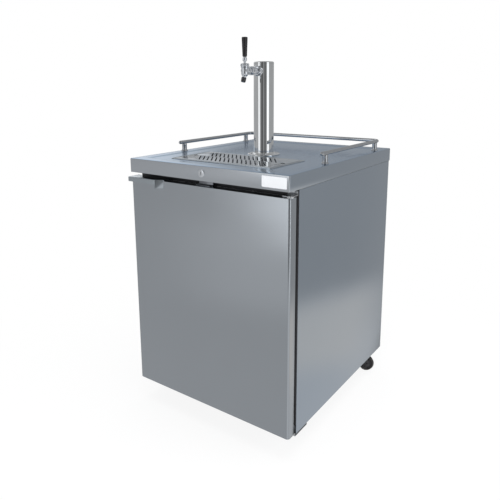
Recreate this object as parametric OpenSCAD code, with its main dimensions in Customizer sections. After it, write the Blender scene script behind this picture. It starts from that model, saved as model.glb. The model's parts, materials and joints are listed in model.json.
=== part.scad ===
// Single-tap draft beer cooler: one-door keg cabinet on casters, worktop with
// drip tray and gallery rail, column tower with one faucet.
// Units are millimetres. X runs across the front (+X is the hinge side), Y runs
// from the front to the back, Z is up from the floor.
// The origin is the middle of the footprint, at floor level.

/* [Cabinet] */
// Overall width of the cabinet, door and worktop
cab_w = 686; // [670:2:700]
// Depth of the worktop, front to back
top_d = 805; // [800:1:815]
// Height of the worktop above the floor
top_z = 976; // [974:1:980]
// Height of the worktop's turned-down front edge
apron_h = 51; // [48:1:52]
// Thickness of the stainless sheet
sheet_t = 1.5; // [1:0.1:2]

/* [Door] */
// How far the door pull stands out in front of the worktop edge
pull_out = 16; // [12:1:20]
// Gap between the door's top edge and the apron
door_gap = 20.5; // [20:0.5:22]
// Radius of the door skin's vertical edges
door_r = 8; // [4:1:10]

/* [Worktop fittings] */
// Width of the drip tray
tray_w = 444; // [430:2:450]
// Depth of the drip tray, front to back
tray_d = 220; // [214:1:221]
// Outside diameter of the gallery rail tube
rail_dia = 14; // [12:1:16]
// Outside diameter of the rail posts
post_dia = 19; // [16:1:22]

/* [Tower] */
// Outside diameter of the column
tower_dia = 76.2; // [75.8:0.1:76.6]
// Height of the column above the recessed worktop
tower_h = 350; // [346:1:354]
// Diameter of the column's base flange
flange_dia = 124; // [118:1:126]

/* [Casters] */
// Wheel diameter
wheel_dia = 64; // [60:1:64]
// Wheel tread width
wheel_w = 24; // [20:1:25]
// How far the wheel trails behind the swivel axis
trail = 26; // [24:1:27]

/* [Hidden] */

$fn = 48;
e = 0.01;                         // overshoot of cutting shapes

hw = cab_w / 2;                   // half width of the cabinet
yc = (top_d - pull_out) / 2;      // middle of the footprint
ts = sheet_t;
apron_z = top_z - apron_h;        // lower edge of the worktop's skirt
deck_z = top_z - 2.5;               // recessed middle of the worktop
rim_w = 48;                       // width of the raised edge
body_y0 = 54.5;                   // front face of the cabinet shell
body_y1 = top_d - 8;              // rear face of the cabinet shell
body_z0 = 87;                     // underside of the cabinet shell
door_z0 = 94;
door_z1 = apron_z - door_gap;
pull_z = apron_z - 15;            // top of the door pull
door_y0 = 4;
door_y1 = 42.5;
open_z0 = 138.5;                  // sill and header of the door opening
open_z1 = 865;
in_x = 291;                       // inner half width of the chamber
in_y1 = 555.5;                    // chamber rear wall
ceil_z = 898;                     // chamber ceiling
mach_y0 = 607;                    // front of the machine compartment

tower_y = 372;
shank_z = 1288;
tap_y = 251;                      // faucet and handle axis
pivot_z = 1304;                   // lever pivot

hinge_x = hw - 12;
hinge_y = 25;
lock_z = 951;

rail_x = hw - 25;
rail_y0 = 247;
rail_y1 = 735;
rail_z = 1012;
rail_bend = 22;
post_ys = [270, 695];

tray_y0 = 88;
WALL_PIPES = [[170, 780], [190, 840]];   // where the refrigerant lines pass the rear wall
axle_z = wheel_dia / 2;
crown_z = 83.6;                   // top of the caster fork

// [x, y, direction in which the wheel trails, degrees from +X]
CASTER_FR = [290, 165, 180];
CASTER_FL = [-290, 165, 70];
CASTER_RR = [290, 705, 38];
CASTER_RL = [-290, 705, 105];
CASTERS = [CASTER_FR, CASTER_FL, CASTER_RR, CASTER_RL];

STEEL = [0.62, 0.63, 0.65];
DARK = [0.23, 0.24, 0.26];
CHROME = [0.82, 0.83, 0.85];
BLACK = [0.05, 0.05, 0.06];
FOAM = [0.86, 0.80, 0.62];
WHITE = [0.88, 0.89, 0.90];
ZINC = [0.70, 0.71, 0.72];
COPPER = [0.72, 0.45, 0.30];

// ---------------------------------------------------------------- helpers
module part(c) { color(c) translate([0, -yc, 0]) children(); }

// box between two corners
module bx(a, b) { translate(a) cube([b[0] - a[0], b[1] - a[1], b[2] - a[2]]); }

// cylinder along Y from y0 to y1
module cy(x, y0, y1, z, r, r2 = undef) {
  translate([x, y0, z]) rotate([-90, 0, 0])
    cylinder(h = y1 - y0, r1 = r, r2 = is_undef(r2) ? r : r2);
}
// cylinder along Z
module cz(x, y, z0, z1, r, r2 = undef) {
  translate([x, y, z0]) cylinder(h = z1 - z0, r1 = r, r2 = is_undef(r2) ? r : r2);
}

// rectangle with rounded corners, from arcs and squares
module rrect(x0, y0, x1, y1, r) {
  translate([x0 + r, y0]) square([x1 - x0 - 2 * r, y1 - y0]);
  translate([x0, y0 + r]) square([x1 - x0, y1 - y0 - 2 * r]);
  for (x = [x0 + r, x1 - r], y = [y0 + r, y1 - r]) translate([x, y]) circle(r);
}

// tube swept along points: rings of n corners, turned with the path
function unit(v) = v / norm(v);
function tangent(p, i) = unit(p[min(i + 1, len(p) - 1)] - p[max(i - 1, 0)]);
function side_of(t, ref) = unit(cross(t, ref));
function ring(c, t, r, n, ref) = let (s = side_of(t, ref), u = cross(s, t))
  [for (k = [0:n - 1]) c + r * (cos(360 * k / n) * s - sin(360 * k / n) * u)];
module sweep(p, r, n = 10, ref = [1, 0, 0]) {
  m = len(p);
  pts = [for (i = [0:m - 1]) each ring(p[i], tangent(p, i), r, n, ref)];
  faces = concat(
    [[for (k = [0:n - 1]) k]],
    [[for (k = [n - 1:-1:0]) (m - 1) * n + k]],
    [for (i = [0:m - 2], k = [0:n - 1])
      [i * n + k, (i + 1) * n + k, (i + 1) * n + (k + 1) % n, i * n + (k + 1) % n]]);
  polyhedron(points = pts, faces = faces, convexity = 6);
}
// a point of the quadratic curve through control points a, b, c
function q(a, b, c, t) = (1 - t) * (1 - t) * a + 2 * t * (1 - t) * b + t * t * c;
// straight runs joined by rounded corners of reach d
function corner(a, b, c, d, n = 5) = let (u = b + unit(a - b) * d, w = b + unit(c - b) * d)
  [for (i = [0:n]) q(u, b, w, i / n)];
function route(p, d) = concat([p[0]],
  [for (i = [1:len(p) - 2]) each corner(p[i - 1], p[i], p[i + 1], d)], [p[len(p) - 1]]);

// ---------------------------------------------------------------- cabinet
module base_frame() part(ZINC) difference() {
  bx([-hw + 2.6, 58.2, body_z0], [hw - 2.6, body_y1 - 3, body_z0 + 30]);
  bx([-hw + 5, 60.2, body_z0 + 2.5], [hw - 5, body_y1 - 5, body_z0 + 31]);
  for (c = CASTERS, x = [-27, 27], y = [-27, 27])
    cz(c[0] + x, c[1] + y, body_z0 - 1, body_z0 + 4, 4.25);
}

module side_panel(s) part(STEEL) {
  translate([0, 0, body_z0]) linear_extrude(apron_z - 0.6 - body_z0)
    polygon([for (p = [[hw - 0.6, body_y0 + 4], [hw - 0.6, body_y1], [hw - 22, body_y1],
      [hw - 22, body_y1 - ts], [hw - 0.6 - ts, body_y1 - ts], [hw - 0.6 - ts, body_y0 + 4]]) [s * p[0], p[1]]]);
  // front flange, folded in behind the breaker frame
  bx([s > 0 ? hw - 21 : -hw + 0.7, body_y0 + 8.3, 118.2],
    [s > 0 ? hw - 0.7 : -hw + 21, body_y0 + 8.3 + ts, apron_z - 0.6]);
}
module side_panel_left() side_panel(-1);
module side_panel_right() side_panel(1);

module rear_bulkhead() part(ZINC) difference() {
  bx([-hw + 3, 605, body_z0 + 31], [hw - 3, 606.5, apron_z - 1]);
  cy(-250, 600, 610, 600, 11);
  for (p = WALL_PIPES) cy(p[0], 600, 610, p[1], 7.5);
}

module rear_grille() part(STEEL) difference() {
  union() {
    bx([-hw + 23, body_y1 - ts - 0.2, body_z0 + 32], [hw - 23, body_y1 - 0.2, apron_z - 1]);
    // hoods of the louvres
    for (i = [0:13], s = [-1, 1]) translate([s * 150, body_y1 - 0.2, 190 + i * 46])
      rotate([0, 90, 0]) translate([0, 0, -115]) linear_extrude(230)
        polygon([[0, -1], [0, 5], [-14, 0], [-14, -1]]);
  }
  for (i = [0:13], s = [-1, 1]) {
    bx([s * 150 - 112, body_y1 - 4, 191 + i * 46], [s * 150 + 112, body_y1 + 0.2, 197 + i * 46]);
    bx([s * 150 - 112, body_y1 - 1, 188 + i * 46], [s * 150 + 112, body_y1 + 3.2, 193 + i * 46]);
  }
  for (x = [-hw + 33, 0, hw - 33], z = [135, apron_z - 20]) cy(x, body_y1 - 4, body_y1 + 1, z, 2.7);
  cy(-250, body_y1 - 4, body_y1 + 1, 166, 11);
  bx([231, body_y1 - 4, 128], [269, body_y1 + 1, 162]);
}

module front_sill() part(DARK) {
  bx([-hw + 2.4, body_y0, 78], [hw - 2.4, body_y0 + 2, 118]);
  bx([-hw + 2, body_y0 + 1, 78], [hw - 2, 90, 80]);
  for (s = [-1, 1]) bx([s > 0 ? hw - 4 : -hw + 2, body_y0, 78], [s > 0 ? hw - 2 : -hw + 4, 134, body_z0 - 0.2]);
  bx([-hw + 3, 88, 78], [hw - 3, 90, body_z0 - 0.2]);
}

module breaker_frame() part(BLACK) difference() {
  bx([-hw + 2.4, body_y0, 118.4], [hw - 2.4, body_y0 + 8, apron_z - 0.6]);
  bx([-in_x, body_y0 - 1, open_z0], [in_x, body_y0 + 9, open_z1]);
}

module liner_panels() part(WHITE) {
  y0 = body_y0 + 8.3;
  for (s = [-1, 1]) bx([s > 0 ? in_x : -in_x - ts, y0, 137], [s > 0 ? in_x + ts : -in_x, in_y1 + ts, ceil_z + ts]);
  difference() {
    bx([-in_x + 0.3, in_y1, 137], [in_x - 0.3, in_y1 + ts, ceil_z - 0.3]);
    cy(-250, in_y1 - 1, in_y1 + 4, 600, 11);
    for (p = WALL_PIPES) cy(p[0], in_y1 - 1, in_y1 + 4, p[1], 7.5);
  }
  bx([-in_x + 0.3, y0, 137], [in_x - 0.3, in_y1 - 0.3, 138.5]);
  difference() {
    bx([-in_x + 0.3, y0, ceil_z], [in_x - 0.3, in_y1 + ts, ceil_z + ts]);
    cz(0, tower_y, ceil_z - 1, ceil_z + 3, 20);
    cz(-170, 275, ceil_z - 1, ceil_z + 3, 11);
  }
}

module insulation() part(FOAM) {
  y0 = body_y0 + 10.2;
  // side walls
  for (s = [-1, 1]) bx([s > 0 ? in_x + ts + 0.1 : -hw + 5.2, y0, body_z0 + 3], [s > 0 ? hw - 5.2 : -in_x - ts - 0.1, 604.8, ceil_z + 1]);
  // floor
  bx([-in_x - 1, y0, body_z0 + 3], [in_x + 1, in_y1 + 1.4, 136.8]);
  // rear wall
  difference() {
    bx([-in_x - 1, in_y1 + ts + 0.1, body_z0 + 3], [in_x + 1, 604.8, ceil_z + 1]);
    cy(-250, in_y1, 610, 600, 11);
    cy(-250, 601, 610, 600, 14.5);
    for (p = WALL_PIPES) cy(p[0], in_y1, 610, p[1], 7.5);
  }
  // ceiling
  difference() {
    bx([-hw + 5.2, y0, ceil_z + ts + 0.1], [hw - 5.2, 604.8, apron_z - 0.8]);
    cz(0, tower_y, ceil_z, apron_z, 20);
    cz(-170, 275, ceil_z, apron_z, 11);
  }
  // under the worktop
  difference() {
    bx([-hw + rim_w + 2, 63, apron_z - 0.6], [hw - rim_w - 2, top_d - rim_w - 2, deck_z - ts - 0.2]);
    bx([-tray_w / 2 + 8, tray_y0 + 8, 942], [tray_w / 2 - 8, tray_y0 + tray_d - 8, deck_z]);
    cz(0, tower_y, apron_z - 2, deck_z, 20);
    for (a = [45:90:315]) cz(49 * cos(a), tower_y + 49 * sin(a), deck_z - 20, deck_z, 4);
    cz(-170, 275, apron_z - 2, deck_z, 16);
  }
}

// ---------------------------------------------------------------- worktop
module worktop() part(STEEL) difference() {
  translate([0, 0, apron_z]) linear_extrude(apron_h) rrect(-hw, 0, hw, top_d, 4);
  // recessed middle
  bx([-hw + rim_w, rim_w, deck_z], [hw - rim_w, top_d - rim_w, top_z + 1]);
  // underside
  bx([-hw + ts, ts, apron_z + ts], [hw - ts, top_d - ts, deck_z - ts]);
  difference() {
    bx([-hw + ts, ts, deck_z - ts - e], [hw - ts, top_d - ts, top_z - ts]);
    bx([-hw + rim_w - ts, rim_w - ts, deck_z - 5], [hw - rim_w + ts, top_d - rim_w + ts, top_z]);
  }
  // open below, with a return flange along the front
  bx([-hw + ts, 14, apron_z - 1], [hw - ts, top_d - ts, apron_z + ts + e]);
  // tray cut-out, tower hole, screw holes, drain
  bx([-tray_w / 2 + 9, tray_y0 + 9, deck_z - 5], [tray_w / 2 - 9, tray_y0 + tray_d - 9, deck_z + 1]);
  cz(0, tower_y, deck_z - 5, deck_z + 1, 24);
  for (a = [45:90:315]) cz(49 * cos(a), tower_y + 49 * sin(a), deck_z - 5, deck_z + 1, 2.7);
  for (x = [-rail_x, rail_x], y = post_ys) cz(x, y, top_z - 5, top_z + 1, 4.2);
  cy(0, -1, 5, lock_z, 11.2);
}

module label_plate() part(WHITE) translate([0, 0, 0]) rotate([90, 0, 0])
  linear_extrude(1) rrect(243, 933, 333, 968, 3);

module drip_tray_pan() part(STEEL) {
  x1 = tray_w / 2; y1 = tray_y0 + tray_d;
  difference() {
    union() {
      translate([0, 0, deck_z]) linear_extrude(1.2) rrect(-x1, tray_y0, x1, y1, 8);
      // bead along the flange
      difference() {
        translate([0, 0, deck_z + 0.6]) linear_extrude(1.9) rrect(-x1 + 0.8, tray_y0 + 0.8, x1 - 0.8, y1 - 0.8, 7.2);
        translate([0, 0, deck_z]) linear_extrude(3) rrect(-x1 + 5.6, tray_y0 + 5.6, x1 - 5.6, y1 - 5.6, 4);
      }
      translate([0, 0, 943.6]) linear_extrude(deck_z - 943) rrect(-x1 + 10, tray_y0 + 10, x1 - 10, y1 - 10, 3);
    }
    translate([0, 0, 944.8]) linear_extrude(40) rrect(-x1 + 11.2, tray_y0 + 11.2, x1 - 11.2, y1 - 11.2, 1.8);
    cz(-170, 275, 940, 950, 8.2);
  }
  // ledge on which the grid lies
  for (s = [-1, 1]) bx([s > 0 ? x1 - 24 : -x1 + 11, tray_y0 + 60, 944.7], [s > 0 ? x1 - 11 : -x1 + 24, y1 - 60, 968.5]);
}

module drain_spout() part(BLACK) difference() {
  translate([-170, 275, 0]) rotate_extrude() polygon([[5.5, 884], [9, 884], [10, 888], [8, 892],
    [8, 930], [15, 930], [15, 943.4], [8, 943.4], [8, 945], [13, 945], [13, 946.5], [5.5, 946.5]]);
  cz(-170, 275, 880, 950, 5.5);
}

module drip_grid() part(STEEL) {
  x1 = tray_w / 2 - 12; y0 = tray_y0 + 12; y1 = tray_y0 + tray_d - 12;
  difference() {
    translate([0, 0, 968.8]) linear_extrude(7.2) rrect(-x1, y0, x1, y1, 6);
    translate([0, 0, 960]) linear_extrude(14.5) rrect(-x1 + 1.5, y0 + 1.5, x1 - 1.5, y1 - 1.5, 5);
    // finger holes
    for (s = [-1, 1]) cz(s * (x1 - 16), (y0 + y1) / 2, 960, 980, 9);
    // slanted slots in two rows, in line from row to row
    for (j = [0:1], i = [-7 - j:8 - j]) translate([i * 19 + (j - 0.5) * 6.9, y0 + 54 + j * 88, 969])
      rotate([0, 0, -54]) cube([100, 4.5, 20], center = true);
  }
}

// ---------------------------------------------------------------- rail
module gallery_rail() part(STEEL) {
  r = rail_dia / 2; b = rail_bend;
  for (s = [-1, 1]) {
    cy(s * rail_x, rail_y0, rail_y1 - b, rail_z, r);
    translate([s * rail_x, rail_y0, rail_z]) sphere(r);
    translate([s * (rail_x - b), rail_y1 - b, rail_z]) rotate([0, 0, s > 0 ? 0 : 90])
      rotate_extrude(angle = 90) translate([b, 0]) circle(r);
  }
  translate([-rail_x + b, rail_y1, rail_z]) rotate([0, 90, 0]) cylinder(h = 2 * (rail_x - b), r = r);
}

module rail_posts() part(CHROME) for (x = [-rail_x, rail_x], y = post_ys) difference() {
  union() {
    cz(x, y, top_z, top_z + 3, post_dia / 2 + 4);
    cz(x, y, top_z + 3, top_z + 6, post_dia / 2 + 4, post_dia / 2);
    cz(x, y, top_z + 6, rail_z - 3, post_dia / 2);
    cz(x, y, top_z - 14, top_z, 4);
  }
  cy(x, y - 20, y + 20, rail_z, rail_dia / 2 + 0.05);
}

// ---------------------------------------------------------------- lock
module lock_barrel() part(CHROME) difference() {
  union() {
    cy(0, -2.2, 0, lock_z, 14, 14);
    cy(0, -3.2, -2.2, lock_z, 12.5, 14);
    cy(0, 0, 28, lock_z, 11);
    cy(0, ts + 0.1, 6, lock_z, 14.5);
  }
  cy(0, -5, 30, lock_z, 7.05);
}
module lock_plug() part(CHROME) {
  difference() {
    cy(0, -2.6, 29, lock_z, 7);
    bx([-1.2, -3, lock_z - 5], [1.2, 8, lock_z + 5]);
  }
  bx([-7, 28.9, lock_z - 7], [41.5, 31.9, lock_z + 7]);
  cy(0, 31.8, 34.5, lock_z, 5);
}

// ---------------------------------------------------------------- tower
module tower_column() part(CHROME) difference() {
  r = tower_dia / 2;
  translate([0, tower_y, deck_z]) rotate_extrude($fn = 96) polygon([[flange_dia / 2 - 30, 0],
    [flange_dia / 2 - 1, 0], [flange_dia / 2, 1], [flange_dia / 2, 3], [flange_dia / 2 - 2, 4.5],
    [r + 5, 5.5], [r + 1.6, 8], [r, 12], [r, tower_h - 9], [r - 1.6, tower_h - 9], [r - 1.6, 4],
    [flange_dia / 2 - 30, 4]]);
  for (a = [45:90:315]) cz(49 * cos(a), tower_y + 49 * sin(a), deck_z - 5, deck_z + 10, 2.7);
  cy(0, tower_y - r - 5, tower_y - 20, shank_z, 11.3);
}
module tower_cap() part(CHROME) translate([0, tower_y, deck_z + tower_h]) difference() {
  r = tower_dia / 2;
  rotate_extrude($fn = 96) {
    polygon([[0, -6], [r - 2, -6], [r - 2, -8.9], [r + 0.3, -8.9], [r + 0.3, -5.5], [r - 5.5, 0], [0, 0]]);
    translate([r - 5.2, -5.5]) intersection() { circle(5.5, $fn = 32); square(6); }
    translate([r - 6, -16]) square([4, 11]);
  }
}
module tower_insulation() part(FOAM) translate([0, tower_y, 0]) difference() {
  cylinder(h = 1262, r = tower_dia / 2 - 2);
  cz(0, 0, -1, deck_z + 6, 60);
  cz(0, 0, 0, 1300, 17);
}
module screws() part(CHROME) {
  for (a = [45:90:315]) translate([49 * cos(a), tower_y + 49 * sin(a), deck_z + 5.6]) {
    translate([0, 0, -13]) cylinder(h = 13.5, r = 2.4);
    difference() {
      cylinder(h = 2.8, r1 = 4.6, r2 = 3.4);
      translate([0, 0, 2.2]) cube([1, 5.6, 2], center = true);
      translate([0, 0, 2.2]) cube([5.6, 1, 2], center = true);
    }
  }
  // bolts that hold the caster plates to the base
  for (c = CASTERS, x = [-27, 27], y = [-27, 27]) translate([c[0] + x, c[1] + y, 0]) {
    translate([0, 0, body_z0 - 8.2]) cylinder(h = 5.1, r = 6.5, $fn = 6);
    translate([0, 0, body_z0 - 3.2]) cylinder(h = 5.6, r = 4);
  }
  for (x = [-hw + 33, 0, hw - 33], z = [135, apron_z - 20]) {
    cy(x, body_y1 - 13, body_y1 + 0.3, z, 2.4);
    difference() {
      cy(x, body_y1, body_y1 + 2.8, z, 4.6, 3.4);
      translate([x, body_y1 + 2.4, z]) cube([1, 2, 5.6], center = true);
      translate([x, body_y1 + 2.4, z]) cube([5.6, 2, 1], center = true);
    }
  }
}

module shank() part(CHROME) difference() {
  cy(0, 285, 362, shank_z, 11);
  cy(0, 284, 304, shank_z, 8);
  cy(0, 300, 363, shank_z, 4.8);
}
module shank_flange() part(CHROME) difference() {
  union() {
    cy(0, 322, 326, shank_z, 15, 19);
    cy(0, 326, 338, shank_z, 19);
  }
  cy(0, 320, 340, shank_z, 11.2);
  cz(0, tower_y, shank_z - 30, shank_z + 30, tower_dia / 2 + 0.05, tower_dia / 2 + 0.05, $fn = 96);
}
module shank_nut() part(ZINC) difference() {
  translate([0, 340.5, shank_z]) rotate([-90, 0, 0]) cylinder(h = 7, r = 16, $fn = 6);
  cy(0, 340, 348, shank_z, 11.05);
}
module coupling_nut() part(CHROME) difference() {
  union() {
    cy(0, 281, 283, shank_z, 14, 16);
    cy(0, 283, 299, shank_z, 16);
    cy(0, 299, 301, shank_z, 16, 14);
  }
  cy(0, 284.8, 302, shank_z, 11.05);
  cy(0, 280, 285, shank_z, 12.1);
  for (a = [0:45:315]) translate([16 * cos(a), 291, shank_z + 16 * sin(a)])
    rotate([0, -a, 0]) cube([5, 6, 5], center = true);
}

module faucet_body() part(CHROME) difference() {
  union() {
    cy(0, 251, 284.6, shank_z, 12);
    cy(0, 262, 268, shank_z, 13.5);
    cz(0, tap_y, 1274, 1298, 13);
    cz(0, tap_y, 1298, 1303, 14.5);
    cz(0, tap_y, 1268, 1274, 9, 13);
    translate([0, tap_y, 1278]) rotate([-20, 0, 0]) translate([0, 0, -31]) cylinder(h = 31, r1 = 7.2, r2 = 8.6);
  }
  // ball seat and room for the lever's tail
  translate([0, tap_y, pivot_z]) sphere(8.4);
  cz(0, tap_y, 1284, pivot_z, 6);
  bx([-4, tap_y - 6, 1283], [4, tap_y + 14, pivot_z]);
  // bore for the valve shaft
  cy(0, tap_y - 9, 285, shank_z, 6);
  // spout bore
  translate([0, tap_y, 1278]) rotate([-20, 0, 0]) translate([0, 0, -32]) cylinder(h = 38, r = 5);
}
module faucet_bonnet() part(CHROME) difference() {
  union() {
    cz(0, tap_y, 1303.2, 1310, 16);
    cz(0, tap_y, 1310, 1313, 16, 14);
  }
  translate([0, tap_y, pivot_z]) sphere(8.4);
  cz(0, tap_y, 1303, 1313.2, 8.4, 13.2);
  for (a = [0:60:300]) translate([16 * cos(a), tap_y + 16 * sin(a), 1306])
    rotate([0, 0, a]) cube([3, 5, 12], center = true);
}
module tap_lever() part(CHROME) {
  translate([0, tap_y, pivot_z]) sphere(8);
  cz(0, tap_y, pivot_z - 15, pivot_z - 5, 2.8);
  cz(0, tap_y, pivot_z + 5, pivot_z + 17, 4.5);
  cz(0, tap_y, pivot_z + 17, pivot_z + 19, 6.5, 8);
  cz(0, tap_y, pivot_z + 19, pivot_z + 26, 8);
  cz(0, tap_y, pivot_z + 26, pivot_z + 32, 8, 6);
  cz(0, tap_y, pivot_z + 32, pivot_z + 46, 4);
}
module tap_handle() part(BLACK) difference() {
  union() {
    cz(0, tap_y, pivot_z + 32.2, pivot_z + 35, 7.2, 8.2);
    cz(0, tap_y, pivot_z + 35, 1400.6, 8.2, 10.8);
    translate([0, tap_y, 1400.6]) rotate_extrude() { square([7.4, 3.4]); translate([7.4, 0]) intersection() { circle(3.4, $fn = 32); square(4); } }
  }
  cz(0, tap_y, pivot_z + 32, pivot_z + 46.1, 4.02);
}
module valve_shaft() part(ZINC) difference() {
  union() {
    cy(0, tap_y - 7.5, 286, shank_z, 4);
    cy(0, 285.2, 288.5, shank_z, 7);
  }
  bx([-3.4, tap_y - 4.4, shank_z - 5], [3.4, tap_y + 4.4, shank_z + 5]);
}

BEER = route([[0, 362.2, 1288], [0, 379, 1288], [0, 379, 1250], [0, 374, 1160], [0, 377, 1060],
  [0, 372, 960], [0, 372, 880]], 14);
module beer_line() part([0.80, 0.86, 0.88]) {
  sweep(BEER, 4.5, 10);
  translate([0, 372, 862]) cylinder(h = 17.9, r = 9, $fn = 6);
}

// ---------------------------------------------------------------- cooling
module evaporator_cover() part(WHITE) difference() {
  bx([-205, 486, 720], [205, in_y1 - 0.2, 893]);
  bx([-203.8, 487.2, 721.2], [203.8, in_y1 + 1, 891.8]);
  cy(-70, 480, 495, 808, 68);
  for (i = [0:9]) bx([30 + i * 17, 480, 750], [36 + i * 17, 495, 870]);
  for (i = [0:21]) bx([-190 + i * 17, 500, 715], [-180 + i * 17, 545, 725]);
  cy(170, 480, 495, 735, 3.2);
}
module evaporator_fan() part(BLACK) {
  cy(-70, 494, 512, 808, 15);
  for (a = [0:72:288]) translate([-70, 503, 808]) rotate([0, a, 0]) translate([38, 0, 0])
    rotate([28, 0, 0]) cube([50, 2, 30], center = true);
}
module thermostat_knob() part(BLACK) difference() {
  union() {
    cy(170, 472, 485.6, 735, 12, 14);
    cy(170, 485.5, 492, 735, 3);
  }
  translate([170, 471.5, 743]) cube([2, 2.4, 9], center = true);
}
module evaporator_coil() part([0.75, 0.76, 0.78]) {
  for (i = [0:24]) bx([-190 + i * 14, 524, 735], [-189 + i * 14, 552, 885]);
  for (z = [750, 780, 810, 840, 870]) translate([-192, 538, z]) rotate([0, 90, 0]) cylinder(h = 346, r = 4, $fn = 24);
}

module compressor() part(BLACK) {
  translate([-150, 700, 0]) {
    rotate_extrude() {
      translate([0, 110]) square([76, 100]);
      intersection() { translate([0, 210]) scale([1, 0.6]) circle(76); translate([0, 209]) square([80, 60]); }
      intersection() { translate([0, 112]) scale([1, 0.2]) circle(76); translate([0, 95]) square([80, 20]); }
    }
    bx([-90, -60, 98], [90, 60, 101]);
    for (x = [-78, 78], y = [-48, 48]) cz(x, y, body_z0 + 2.6, 98.1, 9);
  }
}
module condenser() part([0.35, 0.36, 0.38]) {
  for (i = [0:32]) bx([10 + i * 8, 745, 170], [11 + i * 8, 775, 400]);
  for (z = [195, 240, 285, 330, 375]) translate([8, 760, z]) rotate([0, 90, 0]) cylinder(h = 262, r = 4.5, $fn = 24);
  for (x = [9, 209]) bx([x, 748, body_z0 + 2.6], [x + 3, 772, 171]);
}
module condenser_shroud() part(DARK) difference() {
  bx([8, 716, 168], [270, 744.6, 402]);
  bx([10, 720, 170], [268, 746, 400]);
  cy(138, 710, 730, 285, 104);
}
module condenser_fan() part([0.25, 0.26, 0.28]) {
  cy(138, 690, 712, 285, 22);
  for (a = [0:60:300]) translate([138, 702, 285]) rotate([0, a, 0]) translate([60, 0, 0])
    rotate([25, 0, 0]) cube([80, 2, 44], center = true);
}
// discharge, liquid and suction lines
DIS = route([[-120, 700, 252.8],[-120, 700, 440], [30, 700, 440], [30, 740, 425], [30, 760, 404]], 12);
LIQ = route([[154.3, 538, 780], [170, 538, 780], [170, 640, 780], [170, 640, 440], [170, 760, 440], [170, 760, 404]], 7);
SUC = route([[154.3, 538, 840], [190, 538, 840], [190, 660, 840], [190, 660, 470], [-180, 660, 470], [-180, 690, 470], [-180, 690, 252.8]], 13);
module refrigerant_lines() part(COPPER) {
  sweep(DIS, 3.5, 8, [0.1, 1, 0.2]);
  sweep(LIQ, 3.5, 8, [1, 0.6, 0.8]);
  sweep(SUC, 5, 8, [1, 0.6, 0.8]);
}
module power_inlet() part(BLACK) difference() {
  union() {
    bx([232, body_y1 - 24, 129], [268, body_y1 + 0.4, 161]);
    bx([226, body_y1 + 0.1, 125], [274, body_y1 + 2.4, 165]);
  }
  bx([238, body_y1 - 16, 134], [262, body_y1 + 5, 156]);
  for (x = [244, 256]) bx([x - 1, body_y1 - 20, 142], [x + 1, body_y1 - 10, 148]);
}
module gas_grommets() part(BLACK) {
  for (y = [in_y1 - 3, 601.5]) translate([-250, y, 600]) rotate([-90, 0, 0]) rotate_extrude()
    polygon([[6, 0], [14, 0], [14, 2.8], [10.8, 2.8], [10.8, 5.2], [6, 5.2]]);
  translate([-250, body_y1 + 2.8, 166]) rotate([90, 0, 0]) rotate_extrude()
    polygon([[6, 0], [14, 0], [14, 2.7], [10.8, 2.7], [10.8, 6], [6, 6]]);
}

// ---------------------------------------------------------------- door
module door_plan(g) rrect(-hw + g, door_y0 + g, hw - g, door_y1 + 30, door_r - g * 0.6);
module door_skin() part(STEEL) difference() {
  translate([0, 0, door_z0]) linear_extrude(door_z1 - door_z0) intersection() {
    door_plan(0);
    translate([-hw, 0]) square([2 * hw, door_y1 - 2.6]);
  }
  translate([0, 0, door_z0 + 1.2]) linear_extrude(door_z1 - door_z0 - 2.4) door_plan(1.2);
  for (z = [door_z0 - 1, door_z1 - 3]) cz(hinge_x, hinge_y, z, z + 4, 8.1);
}
module door_foam() part(FOAM) difference() {
  bx([-hw + 4, door_y0 + 1.4, door_z0 + 1.4], [hw - 4, door_y1 - 2.8, door_z1 - 1.4]);
  for (z = [door_z0, door_z1 - 19]) cz(hinge_x, hinge_y, z, z + 19, 8.2);
  bx([hw - 12, door_y0, door_z0], [hw, door_y0 + 8, door_z1]);
  bx([-hw, door_y0, door_z0], [-hw + 12, door_y0 + 8, door_z1]);
}
module door_liner() part(WHITE) difference() {
  union() {
    bx([-hw + 1.5, door_y1 - 2.5, door_z0 + 0.2], [hw - 1.5, door_y1, door_z1 - 0.2]);
    bx([-in_x + 8, door_y1 - 0.1, open_z0 + 9], [in_x - 8, door_y1 + 16, open_z1 - 9]);
  }
  bx([-in_x + 26, door_y1 + 2, open_z0 + 27], [in_x - 26, door_y1 + 20, open_z1 - 27]);
}
module door_gasket() part(BLACK) difference() {
  bx([-329, door_y1 + 0.05, 104], [329, body_y0 - 0.3, 887]);
  bx([-310, door_y1 - 1, 123], [310, body_y0 + 1, 868]);
  // fold of the bellows
  difference() {
    bx([-330, door_y1 + 3.5, 103], [330, door_y1 + 6.5, 888]);
    bx([-325.5, door_y1 + 3, 107.5], [325.5, door_y1 + 7, 883.5]);
  }
}
module door_pull() part(STEEL) difference() {
  p = [[-hw, door_y1 - 3], [-hw, -pull_out], [-205, -pull_out], [-178, door_y0 - 0.1], [-178, door_y1 - 3]];
  translate([0, 0, pull_z - 32]) linear_extrude(32) polygon(p);
  // hollow below the top plate
  translate([0, 0, pull_z - 43]) linear_extrude(41.3) polygon([[-hw + 1.7, door_y0 + 34.2],
    [-hw + 1.7, -pull_out + 1.7], [-205.8, -pull_out + 1.7], [-179.7, door_y0 + 0.8], [-179.7, door_y0 + 34.2]]);
  // room for the door's own top edge
  bx([-hw - 1, door_y0 - 0.3, door_z1 - 30], [-170, door_y1 + 5, door_z1 + 0.1]);
  // lip and left end stop short
  bx([-hw - 1, -pull_out - 1, pull_z - 43], [-205, door_y0 + 1, pull_z - 17]);
}
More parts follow.
